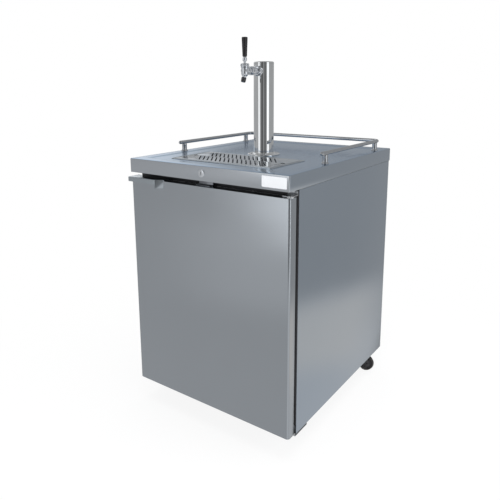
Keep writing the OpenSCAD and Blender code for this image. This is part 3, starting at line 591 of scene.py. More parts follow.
# ------------------------------------------------------------------ worktop
def make_worktop():
    bm = bmesh.new()

    def lp(d, z, r):
        return [(x, y, z) for x, y in rr_loop(-HW + d, d, HW - d, TOP_D - d, r, 8)]

    cove = []
    for k in range(13):
        u = k / 12
        cove.append((39.5 + 19.5 * u, TOP_Z - 2.5 * (u * u * (3 - 2 * u)), 5.0 + 9.0 * u))
    prof = [(d, z - 1.5, r) for d, z, r in reversed(cove)]
    prof += [(3.2, TOP_Z - 1.5, 2.5), (1.5, TOP_Z - 3.0, 2.5), (1.5, APRON + 0.9, 2.5)]
    prof += [(1.1, APRON + 0.25, 2.9), (0.75, APRON, 3.2), (0.3, APRON + 0.2, 3.7), (0.0, APRON + 0.8, 4.0)]
    prof += [(0.0, TOP_Z - 3.0, 4.0)]
    prof += [(3.0 - 3.0 * math.cos(math.radians(a)), TOP_Z - 3.0 + 3.0 * math.sin(math.radians(a)), 4.0) for a in (18, 36, 54, 72, 90)]
    prof += cove
    vs = rings(bm, [lp(*p) for p in prof])
    hole = rr_loop(-213, 97, 213, 299, 8, 6)
    top = [bm.verts.new(P(x, y, DECK)) for x, y in hole]
    bot = [bm.verts.new(P(x, y, DECK - 1.5)) for x, y in hole]
    n = len(hole)
    for k in range(n):
        j = (k + 1) % n
        bm.faces.new((top[k], top[j], bot[j], bot[k]))
    holed(bm, vs[-1], [top])
    holed(bm, vs[0], [bot])
    top = finish_mesh(bm, "worktop_sheet", "brushed_top_painted_shade", "cabinet", "worktop", sharp=28)
    # painted light and shade: faces of the one sheet pick a copy of the steel by which way they point, the lighter
    # apron copy in front, the side copy on the ends and back, the darker bluer copy on top
    top.data.materials.append(MATS["brushed_apron_painted_light"])
    top.data.materials.append(MATS["brushed_side"])
    for f in top.data.polygons:
        if f.normal.y < -0.6 and f.center.z < 0.9745:
            f.material_index = 1
        elif abs(f.normal.x) > 0.6 or f.normal.y > 0.6:
            f.material_index = 2
    # return flange along the front's lower edge
    bm = bmesh.new()
    rbox_into(bm, (-HW + 2, 1.6, APRON + 0.1), (HW - 2, 14, APRON + 1.6), 0.5)
    finish_mesh(bm, "worktop_return_flange", "brushed_top_painted_shade", "cabinet")


# ------------------------------------------------------------------ door
def make_door():
    bm = bmesh.new()

    def lp(d, z):
        out = []
        x0, x1, y0, y1 = -HW + d, HW - d, DY0 + d, DY1 - 2.6 - d * 0.3
        r = 8.0 - d * 0.6
        out += [(x, y, z) for x, y in arc(x1 - r, y0 + r, r, -90, 0, 10)]
        out += [(x, y, z) for x, y in arc(x1 - 0.5, y1 - 0.5, 0.5, 0, 90, 2)]
        out += [(x, y, z) for x, y in arc(x0 + 0.5, y1 - 0.5, 0.5, 90, 180, 2)]
        out += [(x, y, z) for x, y in arc(x0 + r, y0 + r, r, 180, 270, 10)]
        return out

    R = 1.6
    zs = [(R - R * math.sin(math.radians(a)), DZ0 + R - R * math.cos(math.radians(a))) for a in (0, 30, 60, 90)]
    loops = [lp(d, z) for d, z in zs]
    zs1 = [(R - R * math.sin(math.radians(a)), DZ1 - R + R * math.cos(math.radians(a))) for a in (90, 60, 30, 0)]
    loops += [lp(d, z) for d, z in zs1]
    rings(bm, loops, cap0=True, cap1=True)
    finish_mesh(bm, "door_panel", "brushed_front", "door", "door_skin", sharp=24)


def make_pull():
    """Hood over the door's top corner: rounded nose, hemmed lip, angled end plate."""
    zt = 910.0

    def outline(d):
        x0, x1, xb = -HW + d, -205.0, -178.0 - d
        yb, yf, ye = 39.5 - d, -16.0 + d, 3.9
        pts = []
        # back right -> back left -> front left -> front right -> angled end, clockwise
        pts += [(xb, yb, 0), (x0, yb, 0), (x0, 3.7, 0), (x0, 3.6, 1)]
        r = max(7.0 - d, 1.0)
        pts += [(x, y, 1) for x, y in reversed(arc(x0 + r, yf + r, r, 180, 270, 8))][::-1]
        pts += [(-300.0, yf, 1), (-250.0, yf, 1)]
        # tight corner at x1, where the end plate hangs lower than the lip
        a = Vector((x1 - 2.6, yf)); c = Vector((x1 - d * 0.35, yf)); e = Vector((x1 - d * 0.35 + 2.2, yf + 1.65))
        for k in range(6):
            t = k / 5
            q = (1 - t) * (1 - t) * a + 2 * t * (1 - t) * c + t * t * e
            pts.append((q.x, q.y, 1 if k < 3 else 2))
        f = Vector((xb - 3.0, ye - 2.2 - d * 0.2)); g = Vector((xb, ye)); h = Vector((xb, ye + 3.0))
        for k in range(5):
            t = k / 4
            q = (1 - t) * (1 - t) * f + 2 * t * (1 - t) * g + t * t * h
            pts.append((q.x, q.y, 2 if q.y < 3.65 else 0))
        return pts

    def low(tag, x):
        if tag == 0:
            return DZ1 + 0.15
        return 893.0 if tag == 1 else 879.5

    bm = bmesh.new()
    outer, inner = outline(0.0), outline(1.6)
    o0 = [(x, y, low(k, x) + 0.25) for x, y, k in outer]
    o0a = [(x, y, low(k, x)) for x, y, k in outline(0.3)]
    i0a = [(x, y, low(k, xo)) for (x, y, k), (xo, _, _) in zip(outline(1.3), outer)]
    i0 = [(x, y, low(k, xo) + 0.25) for (x, y, k), (xo, _, _) in zip(inner, outer)]
    R = 3.2
    up = []
    for a in (0, 18, 36, 54, 72, 90):
        d = R - R * math.cos(math.radians(a))
        z = zt - R + R * math.sin(math.radians(a))
        up.append([(x, y, z) for x, y, _ in outline(d)])
    ri = 1.6
    upi = []
    for a in (90, 60, 30, 0):
        d = 1.6 + ri - ri * math.cos(math.radians(a))
        z = zt - 1.6 - ri + ri * math.sin(math.radians(a))
        upi.append([(x, y, z) for x, y, _ in outline(d)])
    loops = upi + [i0, i0a, o0a, o0] + up
    vs = rings(bm, loops)
    holed(bm, vs[0], [])
    holed(bm, vs[-1], [])
    finish_mesh(bm, "door_pull_hood", "brushed_pull", "door", "door_pull", sharp=35)


def make_gasket():
    """Magnetic gasket: base, bellows fold and face bulb, mitred round the door."""
    y0, y1 = DY1 + 0.1, 54.15
    prof = [(0.8, y0), (0.0, y0 + 0.8), (0.2, y0 + 2.0), (1.6, y0 + 3.0), (3.3, y0 + 4.0), (3.4, y0 + 5.0), (1.4, y0 + 6.0),
            (0.3, y0 + 6.8), (0.0, y0 + 8.0), (0.2, y0 + 10.2), (1.0, y0 + 11.2), (2.2, y1), (9.0, y1), (16.6, y1),
            (18.0, y0 + 10.8), (18.6, y0 + 9.6), (18.4, y0 + 7.0), (17.0, y0 + 6.0), (15.6, y0 + 5.0), (15.8, y0 + 3.6), (17.6, y0 + 2.6),
            (18.8, y0 + 1.6), (18.9, y0 + 0.6), (18.2, y0)]
    bm = bmesh.new()
    loops = []
    for d, y in prof + prof[:1]:
        loops.append([(x, y, z) for x, z in rr_loop(-329 + d, 104 + d, 329 - d, 887 - d, 2.0 + 0.0 * d, 3)])
    rings(bm, loops)
    finish_mesh(bm, "door_gasket_profile", "gasket_rubber", "door", "door_gasket", sharp=50)


# ------------------------------------------------------------------ drip tray
def make_tray():
    x1, y0, y1 = 222.0, 88.0, 308.0

    def lp(d, z, r):
        return [(x, y, z) for x, y in rr_loop(-x1 + d, y0 + d, x1 - d, y1 - d, r, 8)]

    prof = [(12.6, 943.6, 1.5), (10.9, 944.0, 2.4), (10.0, 945.4, 3), (10.0, 973.4, 3), (0.4, 973.52, 7.6), (0.0, 973.9, 8), (0.2, 974.9, 7.8), (0.9, 975.6, 7.3),
            (2.0, 975.95, 6.5), (3.2, 976.0, 5.6), (4.4, 975.75, 4.9), (5.3, 975.2, 4.3), (6.2, 974.75, 3.8), (7.0, 974.7, 3.4),
            (9.3, 974.7, 3), (10.4, 974.4, 2.6), (11.1, 973.6, 2.2), (11.4, 972.4, 2), (11.4, 947.0, 2), (11.8, 945.8, 1.9), (12.8, 945.0, 1.6), (14.4, 944.8, 1.2)]
    bm = bmesh.new()
    rings(bm, [lp(*p) for p in prof], cap0=True, cap1=True)
    pan = finish_mesh(bm, "drip_tray_pressing", "brushed_pan", "cabinet", "drip_tray_pan", sharp=30)
    pan.data.materials.append(MATS["pan_well_painted_light"])
    # painted light: faces below the rim take the lighter well copy of the steel
    for f in pan.data.polygons:
        if f.center.z < 0.973:
            f.material_index = 1
    # ledges that carry the grid, in the same lighter painted-light steel as the well
    bm = bmesh.new()
    for s in (-1, 1):
        a, b = sorted((s * (x1 - 24), s * (x1 - 11.6)))
        rbox_into(bm, (a, y0 + 60, 944.9), (b, y1 - 60, 968.5), 1.2)
    finish_mesh(bm, "drip_tray_ledges", "pan_well_painted_light", "cabinet")


def make_grid():
    x1, y0, y1, zt = 210.0, 100.0, 296.0, 976.0
    bm = bmesh.new()

    def lp(d, z, r):
        return [(x, y, z) for x, y in rr_loop(-x1 + d, y0 + d, x1 - d, y1 - d, r, 8)]

    prof = [(3.0, zt - 1.5, 3.6), (1.9, zt - 2.0, 4.4), (1.5, zt - 3.0, 4.6), (1.5, 969.1, 4.6), (1.2, 968.8, 4.9), (0.3, 968.8, 5.8), (0.0, 969.1, 6.0),
            (0.0, zt - 1.9, 6.0), (0.25, zt - 0.95, 6.0), (0.95, zt - 0.25, 6.0), (1.9, zt, 6.0)]
    vs = rings(bm, [lp(*p) for p in prof])
    holes_hi, holes_lo = [], []

    def hole(outline, outline2):
        a = [bm.verts.new(P(x, y, zt)) for x, y in outline2]
        b = [bm.verts.new(P(x, y, zt - 0.5)) for x, y in outline]
        c = [bm.verts.new(P(x, y, zt - 1.5)) for x, y in outline]
        n = len(a)
        for p, q in ((a, b), (b, c)):
            for k in range(n):
                j = (k + 1) % n
                bm.faces.new((p[k], p[j], q[j], q[k]))
        holes_hi.append(a)
        holes_lo.append(c)

    def slot(cx, cy, ln, w, ang):
        r = w / 2
        half = ln / 2 - r
        pts = [(half + r * math.cos(t), r * math.sin(t)) for t in (math.radians(a) for a in range(-90, 91, 30))]
        pts += [(-half - r * math.cos(t), -r * math.sin(t)) for t in (math.radians(a) for a in range(-90, 91, 30))]
        ca, sa = math.cos(math.radians(ang)), math.sin(math.radians(ang))
        return [(cx + x * ca - y * sa, cy + x * sa + y * ca) for x, y in pts]

    for j in range(2):
        for i in range(-7 - j, 9 - j):
            cx, cy = i * 19 + (j - 0.5) * 6.9, y0 + 54 + j * 88
            hole(slot(cx, cy, 100, 4.5, -54), slot(cx, cy, 100.8, 5.3, -54))
    for s in (-1, 1):
        c = [(s * (x1 - 16) + 9 * math.cos(2 * math.pi * k / 32), (y0 + y1) / 2 + 9 * math.sin(2 * math.pi * k / 32)) for k in range(32)]
        c2 = [(s * (x1 - 16) + 9.9 * math.cos(2 * math.pi * k / 32), (y0 + y1) / 2 + 9.9 * math.sin(2 * math.pi * k / 32)) for k in range(32)]
        hole(c, c2)
    holed(bm, vs[-1], holes_hi)
    holed(bm, vs[0], holes_lo)
    finish_mesh(bm, "drip_grid_plate", "polished_grid", "drip_grid", "drip_grid", sharp=30)


# ------------------------------------------------------------------ tower and tap
def make_tower():
    r, f, z = 38.1, 62.0, DECK
    prof = [(r - 1.6, 4.0), (f - 30, 4.0), (f - 30, 0.05), (f - 0.8, 0.05)]
    prof += [(f - 0.9 + 0.9 * math.cos(math.radians(a)), 0.95 + 0.9 * math.sin(math.radians(a))) for a in (-60, -30, 0)]
    prof += [(f - 2.0 + 2.0 * math.cos(math.radians(a)), 2.6 + 2.0 * math.sin(math.radians(a))) for a in (0, 25, 50, 75, 90)]
    prof += [(r + 6.5, 5.0)]
    prof += [(r + 6.5 - 6.5 * math.sin(math.radians(a)), 11.5 - 6.5 * math.cos(math.radians(a))) for a in (20, 40, 60, 80, 90)]
    prof += [(r, 341.0 - 0.4), (r - 0.4, 341.0), (r - 1.6, 341.0)]
    lathe("tower_tube", prof, at(0, TOWER_Y, z), "polished_steel", "cabinet", "tower_column", segs=128, closed=True, sharp=40)
    # domed cap
    zc = z + 350.0
    prof = [(0, -8), (r - 2, -8), (r - 2, -8.9), (r + 0.3, -8.9)]
    prof += [(r - 5.2 + 5.5 * math.cos(math.radians(a)), -5.5 + 4.6 * math.sin(math.radians(a))) for a in (0, 15, 30, 45, 60, 75, 90)]
    prof += [(r - 14, -0.45), (r - 24, -0.15), (0, 0.0)]
    lathe("tower_top_cap", prof, at(0, TOWER_Y, zc), "polished_steel", "cabinet", "tower_cap", segs=128, sharp=40)


def make_faucet():
    # shank, flange and coupling nut
    lathe("shank_tube", [(4.8, 362), (11, 362), (11, 285), (8, 285), (8, 304), (4.8, 304)], at(0, 0, SHANK_Z, "Y"), "chrome", "cabinet", "shank", segs=48, closed=True)
    # flange whose back follows the column
    segs, rf = 72, 19.0
    bm = bmesh.new()
    radial = [(11.3, 337.0), (11.3, 322.6), (11.9, 322.0), (14.2, 322.0), (15.2, 322.3), (18.2, 325.2), (18.8, 326.2), (19.0, 327.2), (19.0, 333.0)]
    loops = []
    for rad, y in radial:
        loops.append([(rad * math.cos(2 * math.pi * k / segs), y, SHANK_Z + rad * math.sin(2 * math.pi * k / segs)) for k in range(segs)])
    def back(x):
        return TOWER_Y - math.sqrt(max(38.2 ** 2 - x * x, 0)) - 0.02
    loops[0] = [(x, back(x), zz) for x, _, zz in loops[0]]
    last = [(rf * math.cos(2 * math.pi * k / segs), 0, SHANK_Z + rf * math.sin(2 * math.pi * k / segs)) for k in range(segs)]
    loops.append([(x, back(x), zz) for x, _, zz in last])
    loops.append(loops[0])
    rings(bm, loops)
    finish_mesh(bm, "shank_flange_collar", "chrome", "cabinet", "shank_flange", sharp=35)
    # coupling nut with spanner notches
    segs = 96
    bm = bmesh.new()
    prof = [(12.2, 281.0), (14.0, 281.0), (15.2, 281.6), (16.0, 283.0), (16.0, 287.9), (16.0, 288.0), (16.0, 294.0), (16.0, 294.1), (16.0, 299.0), (15.2, 300.4), (14.0, 301.0), (11.1, 301.0), (11.1, 285.0), (12.2, 285.0)]
    loops = []
    for i, (rad, y) in enumerate(prof):
        lp = []
        for k in range(segs):
            a = 2 * math.pi * k / segs
            rr = rad
            if i in (5, 6):
                ph = (math.degrees(a) + 22.5) % 45 - 22.5
                if abs(ph) < 8.5:
                    rr = rad - 2.3
            lp.append((rr * math.cos(a), y, SHANK_Z + rr * math.sin(a)))
        loops.append(lp)
    loops.append(loops[0])
    rings(bm, loops)
    finish_mesh(bm, "coupling_ring", "chrome", "cabinet", "coupling_nut", sharp=30)
    # faucet body: barrel, vertical chamber and raked spout as one casting
    bm = bmesh.new()
    lathe_into(bm, [(0, 240.5), (8.5, 240.5), (11.2, 242.0), (12.0, 244.5), (12.0, 260.6), (12.6, 261.4), (13.5, 262.2), (13.5, 267.8), (12.6, 268.6), (12.0, 269.4),
                    (12.0, 279.0), (11.6, 279.4), (11.6, 281.4), (12.0, 281.8), (12.0, 284.2), (11.6, 284.6), (0, 284.6)], at(0, 0, SHANK_Z, "Y"), 64)
    a = loose(bm)
    bm = bmesh.new()
    lathe_into(bm, [(0, 1266.5), (6.0, 1267.0), (9.0, 1268.6), (11.2, 1271.0), (12.5, 1274.0), (13.0, 1277.5), (13.0, 1297.4), (13.6, 1298.2), (14.5, 1298.8), (14.5, 1302.4), (14.0, 1303.0), (0, 1303.0)],
               at(0, TAP_Y, 0), 64)
    b = loose(bm)
    bm = bmesh.new()
    sp = at(0, TAP_Y, 1278) @ Matrix.Rotation(math.radians(-20), 4, "X")
    lathe_into(bm, [(0, -31.0), (4.9, -31.0), (4.9, -26.0), (0, -26.0)], sp, 32)
    bore = loose(bm)
    bm = bmesh.new()
    lathe_into(bm, [(0, -31.0), (6.4, -31.0), (7.2, -30.4), (7.4, -29.0), (8.0, -12.0), (8.8, -6.0), (10.2, -2.0), (10.4, 2.0), (0, 6.0)], sp, 48)
    c = loose(bm)
    bm = bmesh.new()
    bm.from_mesh(a.data)
    bpy.data.objects.remove(a)
    body = finish_mesh(bm, "faucet_casting", "chrome", "cabinet", "faucet_body")
    boolean(body, b, "UNION")
    boolean(body, c, "UNION")
    boolean(body, bore, "DIFFERENCE")
    # ball seat, the slot for the lever's tail and the bore for the valve shaft
    bm = bmesh.new()
    lathe_into(bm, [(0, -8.4)] + [(8.4 * math.cos(math.radians(a)), 8.4 * math.sin(math.radians(a))) for a in range(-80, 81, 10)] + [(0, 8.4)],
               at(0, TAP_Y, PIVOT), 48)
    boolean(body, loose(bm), "DIFFERENCE")
    bm = bmesh.new()
    lathe_into(bm, [(0, 1284.0), (6.0, 1284.0), (6.0, PIVOT), (0, PIVOT)], at(0, TAP_Y, 0), 32)
    boolean(body, loose(bm), "DIFFERENCE")
    bm = bmesh.new()
    rbox_into(bm, (-4, TAP_Y - 6, 1283), (4, TAP_Y + 14, PIVOT), 0.4, 1)
    boolean(body, loose(bm), "DIFFERENCE")
    bm = bmesh.new()
    lathe_into(bm, [(0, TAP_Y - 9), (6.0, TAP_Y - 9), (6.0, 288.0), (0, 288.0)], at(0, 0, SHANK_Z, "Y"), 32)
    boolean(body, loose(bm), "DIFFERENCE")
    body.data.materials.clear()
    body.data.materials.append(MATS["chrome"])
    resmooth(body, 30)
    # dark sleeve on the spout's mouth
    lathe("spout_tip", [(5.0, -31.6), (7.6, -31.6), (8.3, -31.0), (8.5, -29.8), (9.0, -17.0), (8.7, -16.2), (8.2, -16.0), (7.0, -16.4), (6.8, -30.6), (5.0, -30.9)],
          sp, "black_plastic", "cabinet", segs=48, closed=True)
    # bonnet with fluted grip
    segs = 120
    bm = bmesh.new()
    prof = [(8.5, 1303.3), (14.6, 1303.3), (15.6, 1303.7), (16.0, 1304.6), (16.0, 1309.2), (15.7, 1310.2), (14.6, 1311.8), (13.8, 1312.6), (13.0, 1313.0), (12.6, 1312.9), (8.9, 1305.2)]
    loops = []
    for i, (rad, z) in enumerate(prof):
        lp = []
        for k in range(segs):
            a = 2 * math.pi * k / segs
            rr = rad
            if i in (2, 3, 4, 5):
                ph = (math.degrees(a) % 12) / 12
                rr = rad - (0.75 if 0.3 < ph < 0.7 else 0.0)
            lp.append((rr * math.cos(a), TAP_Y + rr * math.sin(a), z))
        loops.append(lp)
    loops.append(loops[0])
    rings(bm, loops)
    finish_mesh(bm, "faucet_bonnet_ring", "chrome", "cabinet", "faucet_bonnet", sharp=30)
    # lever: ball, stem, collar and stud
    ball = [(0, -8.0)] + [(8 * math.cos(math.radians(a)), 8 * math.sin(math.radians(a))) for a in range(-80, 60, 10)]
    ball = [(2.8 if i == 0 else r, -15.0 if i == 0 else z) for i, (r, z) in enumerate(ball)]
    prof = [(0, -15.0), (2.4, -15.0), (2.8, -14.4), (2.8, -7.6)]
    prof += [(8 * math.cos(math.radians(a)), 8 * math.sin(math.radians(a))) for a in range(-69, 56, 8)]
    prof += [(4.5, 6.9), (4.5, 15.6), (4.9, 16.4), (6.4, 17.0), (7.6, 17.8), (8.0, 19.0), (8.0, 22.0), (7.5, 22.6), (7.5, 23.4), (8.0, 24.0), (8.0, 26.0), (7.4, 28.2), (6.5, 30.4), (5.9, 31.9), (4.0, 32.0), (4.0, 45.6), (3.6, 46.0), (0, 46.0)]
    lathe("lever_ball_and_stem", prof, at(0, TAP_Y, PIVOT), "chrome", "tap", "tap_lever", segs=64, sharp=35)
    # handle
    prof = [(4.05, 32.2), (6.6, 32.2), (7.4, 32.5), (7.9, 33.4), (8.2, 35.0)]
    prof += [(8.2 + 2.6 * (h / 61.6), 35.0 + h) for h in (12, 24, 36, 48, 58)]
    prof += [(10.75, 96.0), (10.7, 97.2), (10.35, 98.5), (9.6, 99.4), (8.4, 99.85), (6.0, 99.98), (0, 100.0)]
    prof = [(0, 46.3), (4.05, 46.3)] + prof
    lathe("tap_handle_turned", prof, at(0, TAP_Y, PIVOT), "handle_black", "tap", "tap_handle", segs=96, sharp=40)


# ------------------------------------------------------------------ rail
def make_rail():
    bx, y0, y1, z, b, r = 318.0, 247.0, 735.0, 1012.0, 22.0, 7.0
    pts = [(-bx, y0 + i * (y1 - b - y0) / 6, z) for i in range(7)]
    pts += [(-bx + b - b * math.cos(math.radians(a)), y1 - b + b * math.sin(math.radians(a)), z) for a in range(10, 90, 10)]
    pts += [(-bx + b + i * 2 * (bx - b) / 8, y1, z) for i in range(9)]
    pts += [(bx - b + b * math.sin(math.radians(a)), y1 - b + b * math.cos(math.radians(a)), z) for a in range(10, 90, 10)]
    pts += [(bx, y1 - b - i * (y1 - b - y0) / 6, z) for i in range(7)]
    bm = bmesh.new()
    tube_into(bm, pts, r, 40)
    finish_mesh(bm, "gallery_rail_tube", "brushed_rail", "cabinet", "gallery_rail", sharp=40)
    bm = bmesh.new()
    for x in (-bx, bx):
        for y in (270.0, 695.0):
            prof = [(0, 976.05), (12.9, 976.05), (13.5, 976.6), (13.5, 977.6), (13.2, 978.6), (12.0, 979.8), (10.6, 981.0), (9.8, 982.6), (9.5, 984.6),
                    (9.5, 1000.6), (9.7, 1002.0), (9.7, 1004.6), (9.3, 1006.2), (8.3, 1007.4), (0, 1007.6)]
            lathe_into(bm, prof, at(x, y, 0), 56)
    finish_mesh(bm, "rail_post_set", "brushed_rail", "cabinet", "rail_posts", sharp=34)


# ------------------------------------------------------------------ lock and label
def make_front_fittings():
    prof = [(7.1, 0.0), (7.1, -2.9), (7.4, -3.2), (8.4, -3.2), (9.4, -2.9), (12.2, -3.1), (13.0, -2.8), (13.7, -2.2), (14.0, -1.4), (14.0, -0.05)]
    full = [(7.1, 28.0), (11.0, 28.0), (11.0, -0.05)]
    lathe("lock_escutcheon", prof + [(11.0, -0.05), (11.0, 28.0), (7.1, 28.0)], at(0, 0, 951, "Y"), "chrome", "cabinet", "lock_barrel", segs=72, closed=True, sharp=34)
    bm = bmesh.new()
    loops = []
    for d, y in ((0.0, -0.02), (0.0, -0.55), (0.12, -0.8), (0.42, -0.97), (0.8, -1.0)):
        loops.append([(x, y, z) for x, z in rr_loop(243 + d, 933 + d, 333 - d, 968 - d, 3.0 - d * 0.5, 6)])
    rings(bm, loops, cap0=True, cap1=True)
    finish_mesh(bm, "blank_name_plate", "label_white", "cabinet", "label_plate", sharp=40)


# ------------------------------------------------------------------ cabinet sheets
def lbox_into(bm, m, a, b, r=0.6, segs=2):
    """Bevelled box in the local millimetres of matrix m."""
    t = bmesh.new()
    vs = [t.verts.new(P(*(m @ Vector((x, y, z))))) for z in (a[2], b[2]) for y in (a[1], b[1]) for x in (a[0], b[0])]
    for f in ((0, 2, 3, 1), (4, 5, 7, 6), (0, 1, 5, 4), (2, 6, 7, 3), (0, 4, 6, 2), (1, 3, 7, 5)):
        t.faces.new([vs[i] for i in f])
    if r > 0:
        bmesh.ops.bevel(t, geom=list(t.edges), offset=r * 0.001, segments=segs, profile=0.5, affect="EDGES", clamp_overlap=True)
    merge(bm, t)


def mirrored(s, a, b):
    x0, x1 = sorted((s * a[0], s * b[0]))
    return (x0, a[1], a[2]), (x1, b[1], b[2])


def make_sides():
    x1, y1 = HW - 0.6, 797.0
    bend = [(x1 - 2.6 + 2.6 * math.cos(math.radians(a)), y1 - 2.6 + 2.6 * math.sin(math.radians(a))) for a in (0, 18, 36, 54, 72, 90)]
    for s, node in ((-1, "side_panel_left"), (1, "side_panel_right")):
        bm = bmesh.new()
        pts = [(x1, 58.5)] + bend + [(321.0, y1), (321.0, y1 - 1.5), (x1 - 3.0, y1 - 1.5), (x1 - 2.0, y1 - 1.9), (x1 - 1.5, y1 - 3.0), (x1 - 1.5, 58.5)]
        prism_into(bm, [(s * x, y) for x, y in pts], 87.0, 924.4, r=0.4)
        rbox_into(bm, *mirrored(s, (322.0, 62.8, 118.2), (x1 - 0.2, 64.3, 924.3)), r=0.4)
        finish_mesh(bm, node + "_sheet", "brushed_side", "cabinet", node, sharp=30)


def make_front_frame():
    """Moulded breaker frame with a soft inner edge, and the folded sill under it."""
    bm = bmesh.new()
    rbox_into(bm, (-340.5, 60.2, 924.8), (340.5, 62.6, 971.4), 0.5)
    finish_mesh(bm, "header_strip", "black_plastic", "cabinet")
    bm = bmesh.new()

    def lp(x, z0, z1, r, y):
        return [(px, y, pz) for px, pz in rr_loop(-x, z0, x, z1, r, 6)]

    outer = (340.6, 118.4, 924.4, 1.2)
    loops = [lp(*outer, 62.5), lp(*outer, 54.9), lp(340.2, 118.8, 924.0, 1.2, 54.5)]
    loops += [lp(331.5, 126.0, 888.0, 4.0, 54.5), lp(330.9, 126.6, 887.4, 4.0, 55.0), lp(329.6, 127.6, 886.4, 4.0, 55.0), lp(329.0, 128.2, 885.8, 4.0, 54.5)]
    for a in (0, 22, 45, 67, 90):
        q = math.radians(a)
        d = 3.0 * (1 - math.sin(q))
        loops.append(lp(291.0 + d, 138.5 - d, 865.0 + d, 2.5 + d, 57.5 - 3.0 * math.cos(q)))
    loops += [lp(291.0, 138.5, 865.0, 2.5, 62.5)]
    loops.append(loops[0])
    rings(bm, loops)
    finish_mesh(bm, "breaker_frame_moulding", "black_plastic", "cabinet", "breaker_frame", sharp=35)
    bm = bmesh.new()
    rbox_into(bm, (-340.6, 54.5, 78.0), (340.6, 56.5, 118.0), 0.5)
    rbox_into(bm, (-340.9, 55.6, 78.0), (340.9, 90.0, 80.0), 0.5)
    rbox_into(bm, (-339.8, 88.0, 78.2), (339.8, 90.0, 86.8), 0.5)
    for s in (-1, 1):
        rbox_into(bm, *mirrored(s, (339.0, 54.6, 78.0), (341.0, 134.0, 86.8)), r=0.5)
        for z in (108.0,):
            lathe_into(bm, [(0, 0.2), (0, -1.6), (2.2, -1.5), (3.6, -0.9), (4.2, 0.0), (4.2, 0.2)], at(s * 300.0, 54.5, z, "Y"), 24)
    finish_mesh(bm, "front_sill_folded", "dark_metal", "cabinet", "front_sill", sharp=30)


def make_grille():
    """Rear service panel with pressed louvres, one sheet thick."""
    y = 796.8
    bm = bmesh.new()
    x0, x1, z0, z1 = -320.0, 320.0, 119.0, 924.0
    outer = [bm.verts.new(P(a, y, c)) for a, c in ((x0, z0), (x1, z0), (x1, z1), (x0, z1))]
    holes = []

    def ring_hole(pts):
        holes.append([bm.verts.new(P(a, y, c)) for a, c in pts])

    for a in (-310.0, 0.0, 310.0):
        for c in (135.0, 905.0):
            ring_hole([(a + 2.7 * math.cos(2 * math.pi * k / 20), c + 2.7 * math.sin(2 * math.pi * k / 20)) for k in range(20)])
    ring_hole([(-250 + 11 * math.cos(2 * math.pi * k / 32), 166 + 11 * math.sin(2 * math.pi * k / 32)) for k in range(32)])
    ring_hole(rr_loop(231, 128, 269, 162, 2.0, 3))
    nx, nz = 30, 6
    for i in range(14):
        for s in (-1, 1):
            cx, cz = s * 150.0, 190.0 + i * 46
            hgt = 14.0
            grid = []
            for v in range(nz + 1):
                row = []
                for u in range(nx + 1):
                    px = cx - 115 + 230 * u / nx
                    f = min(1.0, u / 2.5, (nx - u) / 2.5)
                    f = math.sin(f * math.pi / 2)
                    g = math.cos(math.pi / 2 * v / nz)
                    row.append(bm.verts.new(P(px, y + 4.8 * f * g, cz + hgt * v / nz)))
                grid.append(row)
            for v in range(nz):
                for u in range(nx):
                    bm.faces.new((grid[v][u], grid[v][u + 1], grid[v + 1][u + 1], grid[v + 1][u]))
            loop = [grid[0][0], grid[0][nx]] + [grid[v][nx] for v in range(1, nz + 1)] + [grid[nz][u] for u in range(nx - 1, -1, -1)] + [grid[v][0] for v in range(nz - 1, 0, -1)]
            holes.append(loop)
    holed(bm, outer, holes)
    o = finish_mesh(bm, "rear_grille_louvred", "brushed_back", "cabinet", "rear_grille", sharp=40)
    # the sheet between the louvres is shaded flat, so that their curves end at its plane
    flat = P(0, y, 0)[1]
    for f in o.data.polygons:
        if all(abs(o.data.vertices[i].co.y - flat) < 2e-6 for i in f.vertices):
            f.use_smooth = False
    md = o.modifiers.new("sheet", "SOLIDIFY")
    md.thickness = 0.0012
    md.offset = 0.0
    dg = bpy.context.evaluated_depsgraph_get()
    me = bpy.data.meshes.new_from_object(o.evaluated_get(dg))
    o.modifiers.clear()
    old = o.data
    o.data = me
    bpy.data.meshes.remove(old)
    me.name = "rear_grille_louvred"
    for v in me.vertices:
        v.co.y = min(v.co.y, (802.2 - YC) * 0.001)


# ------------------------------------------------------------------ hinges, strike, keyway
def screw_into(bm, m, r=4.2, h=2.4):
    """Pan head with a round dimple in its top, standing on local z = 0."""
    t = bmesh.new()
    lathe_into(t, [(0, 0), (r, 0), (r, 0.3), (r * 0.93, h * 0.55), (r * 0.7, h * 0.9), (r * 0.45, h), (r * 0.16, h), (r * 0.12, h * 0.45), (0, h * 0.4)], m, 28)
    merge(bm, t)


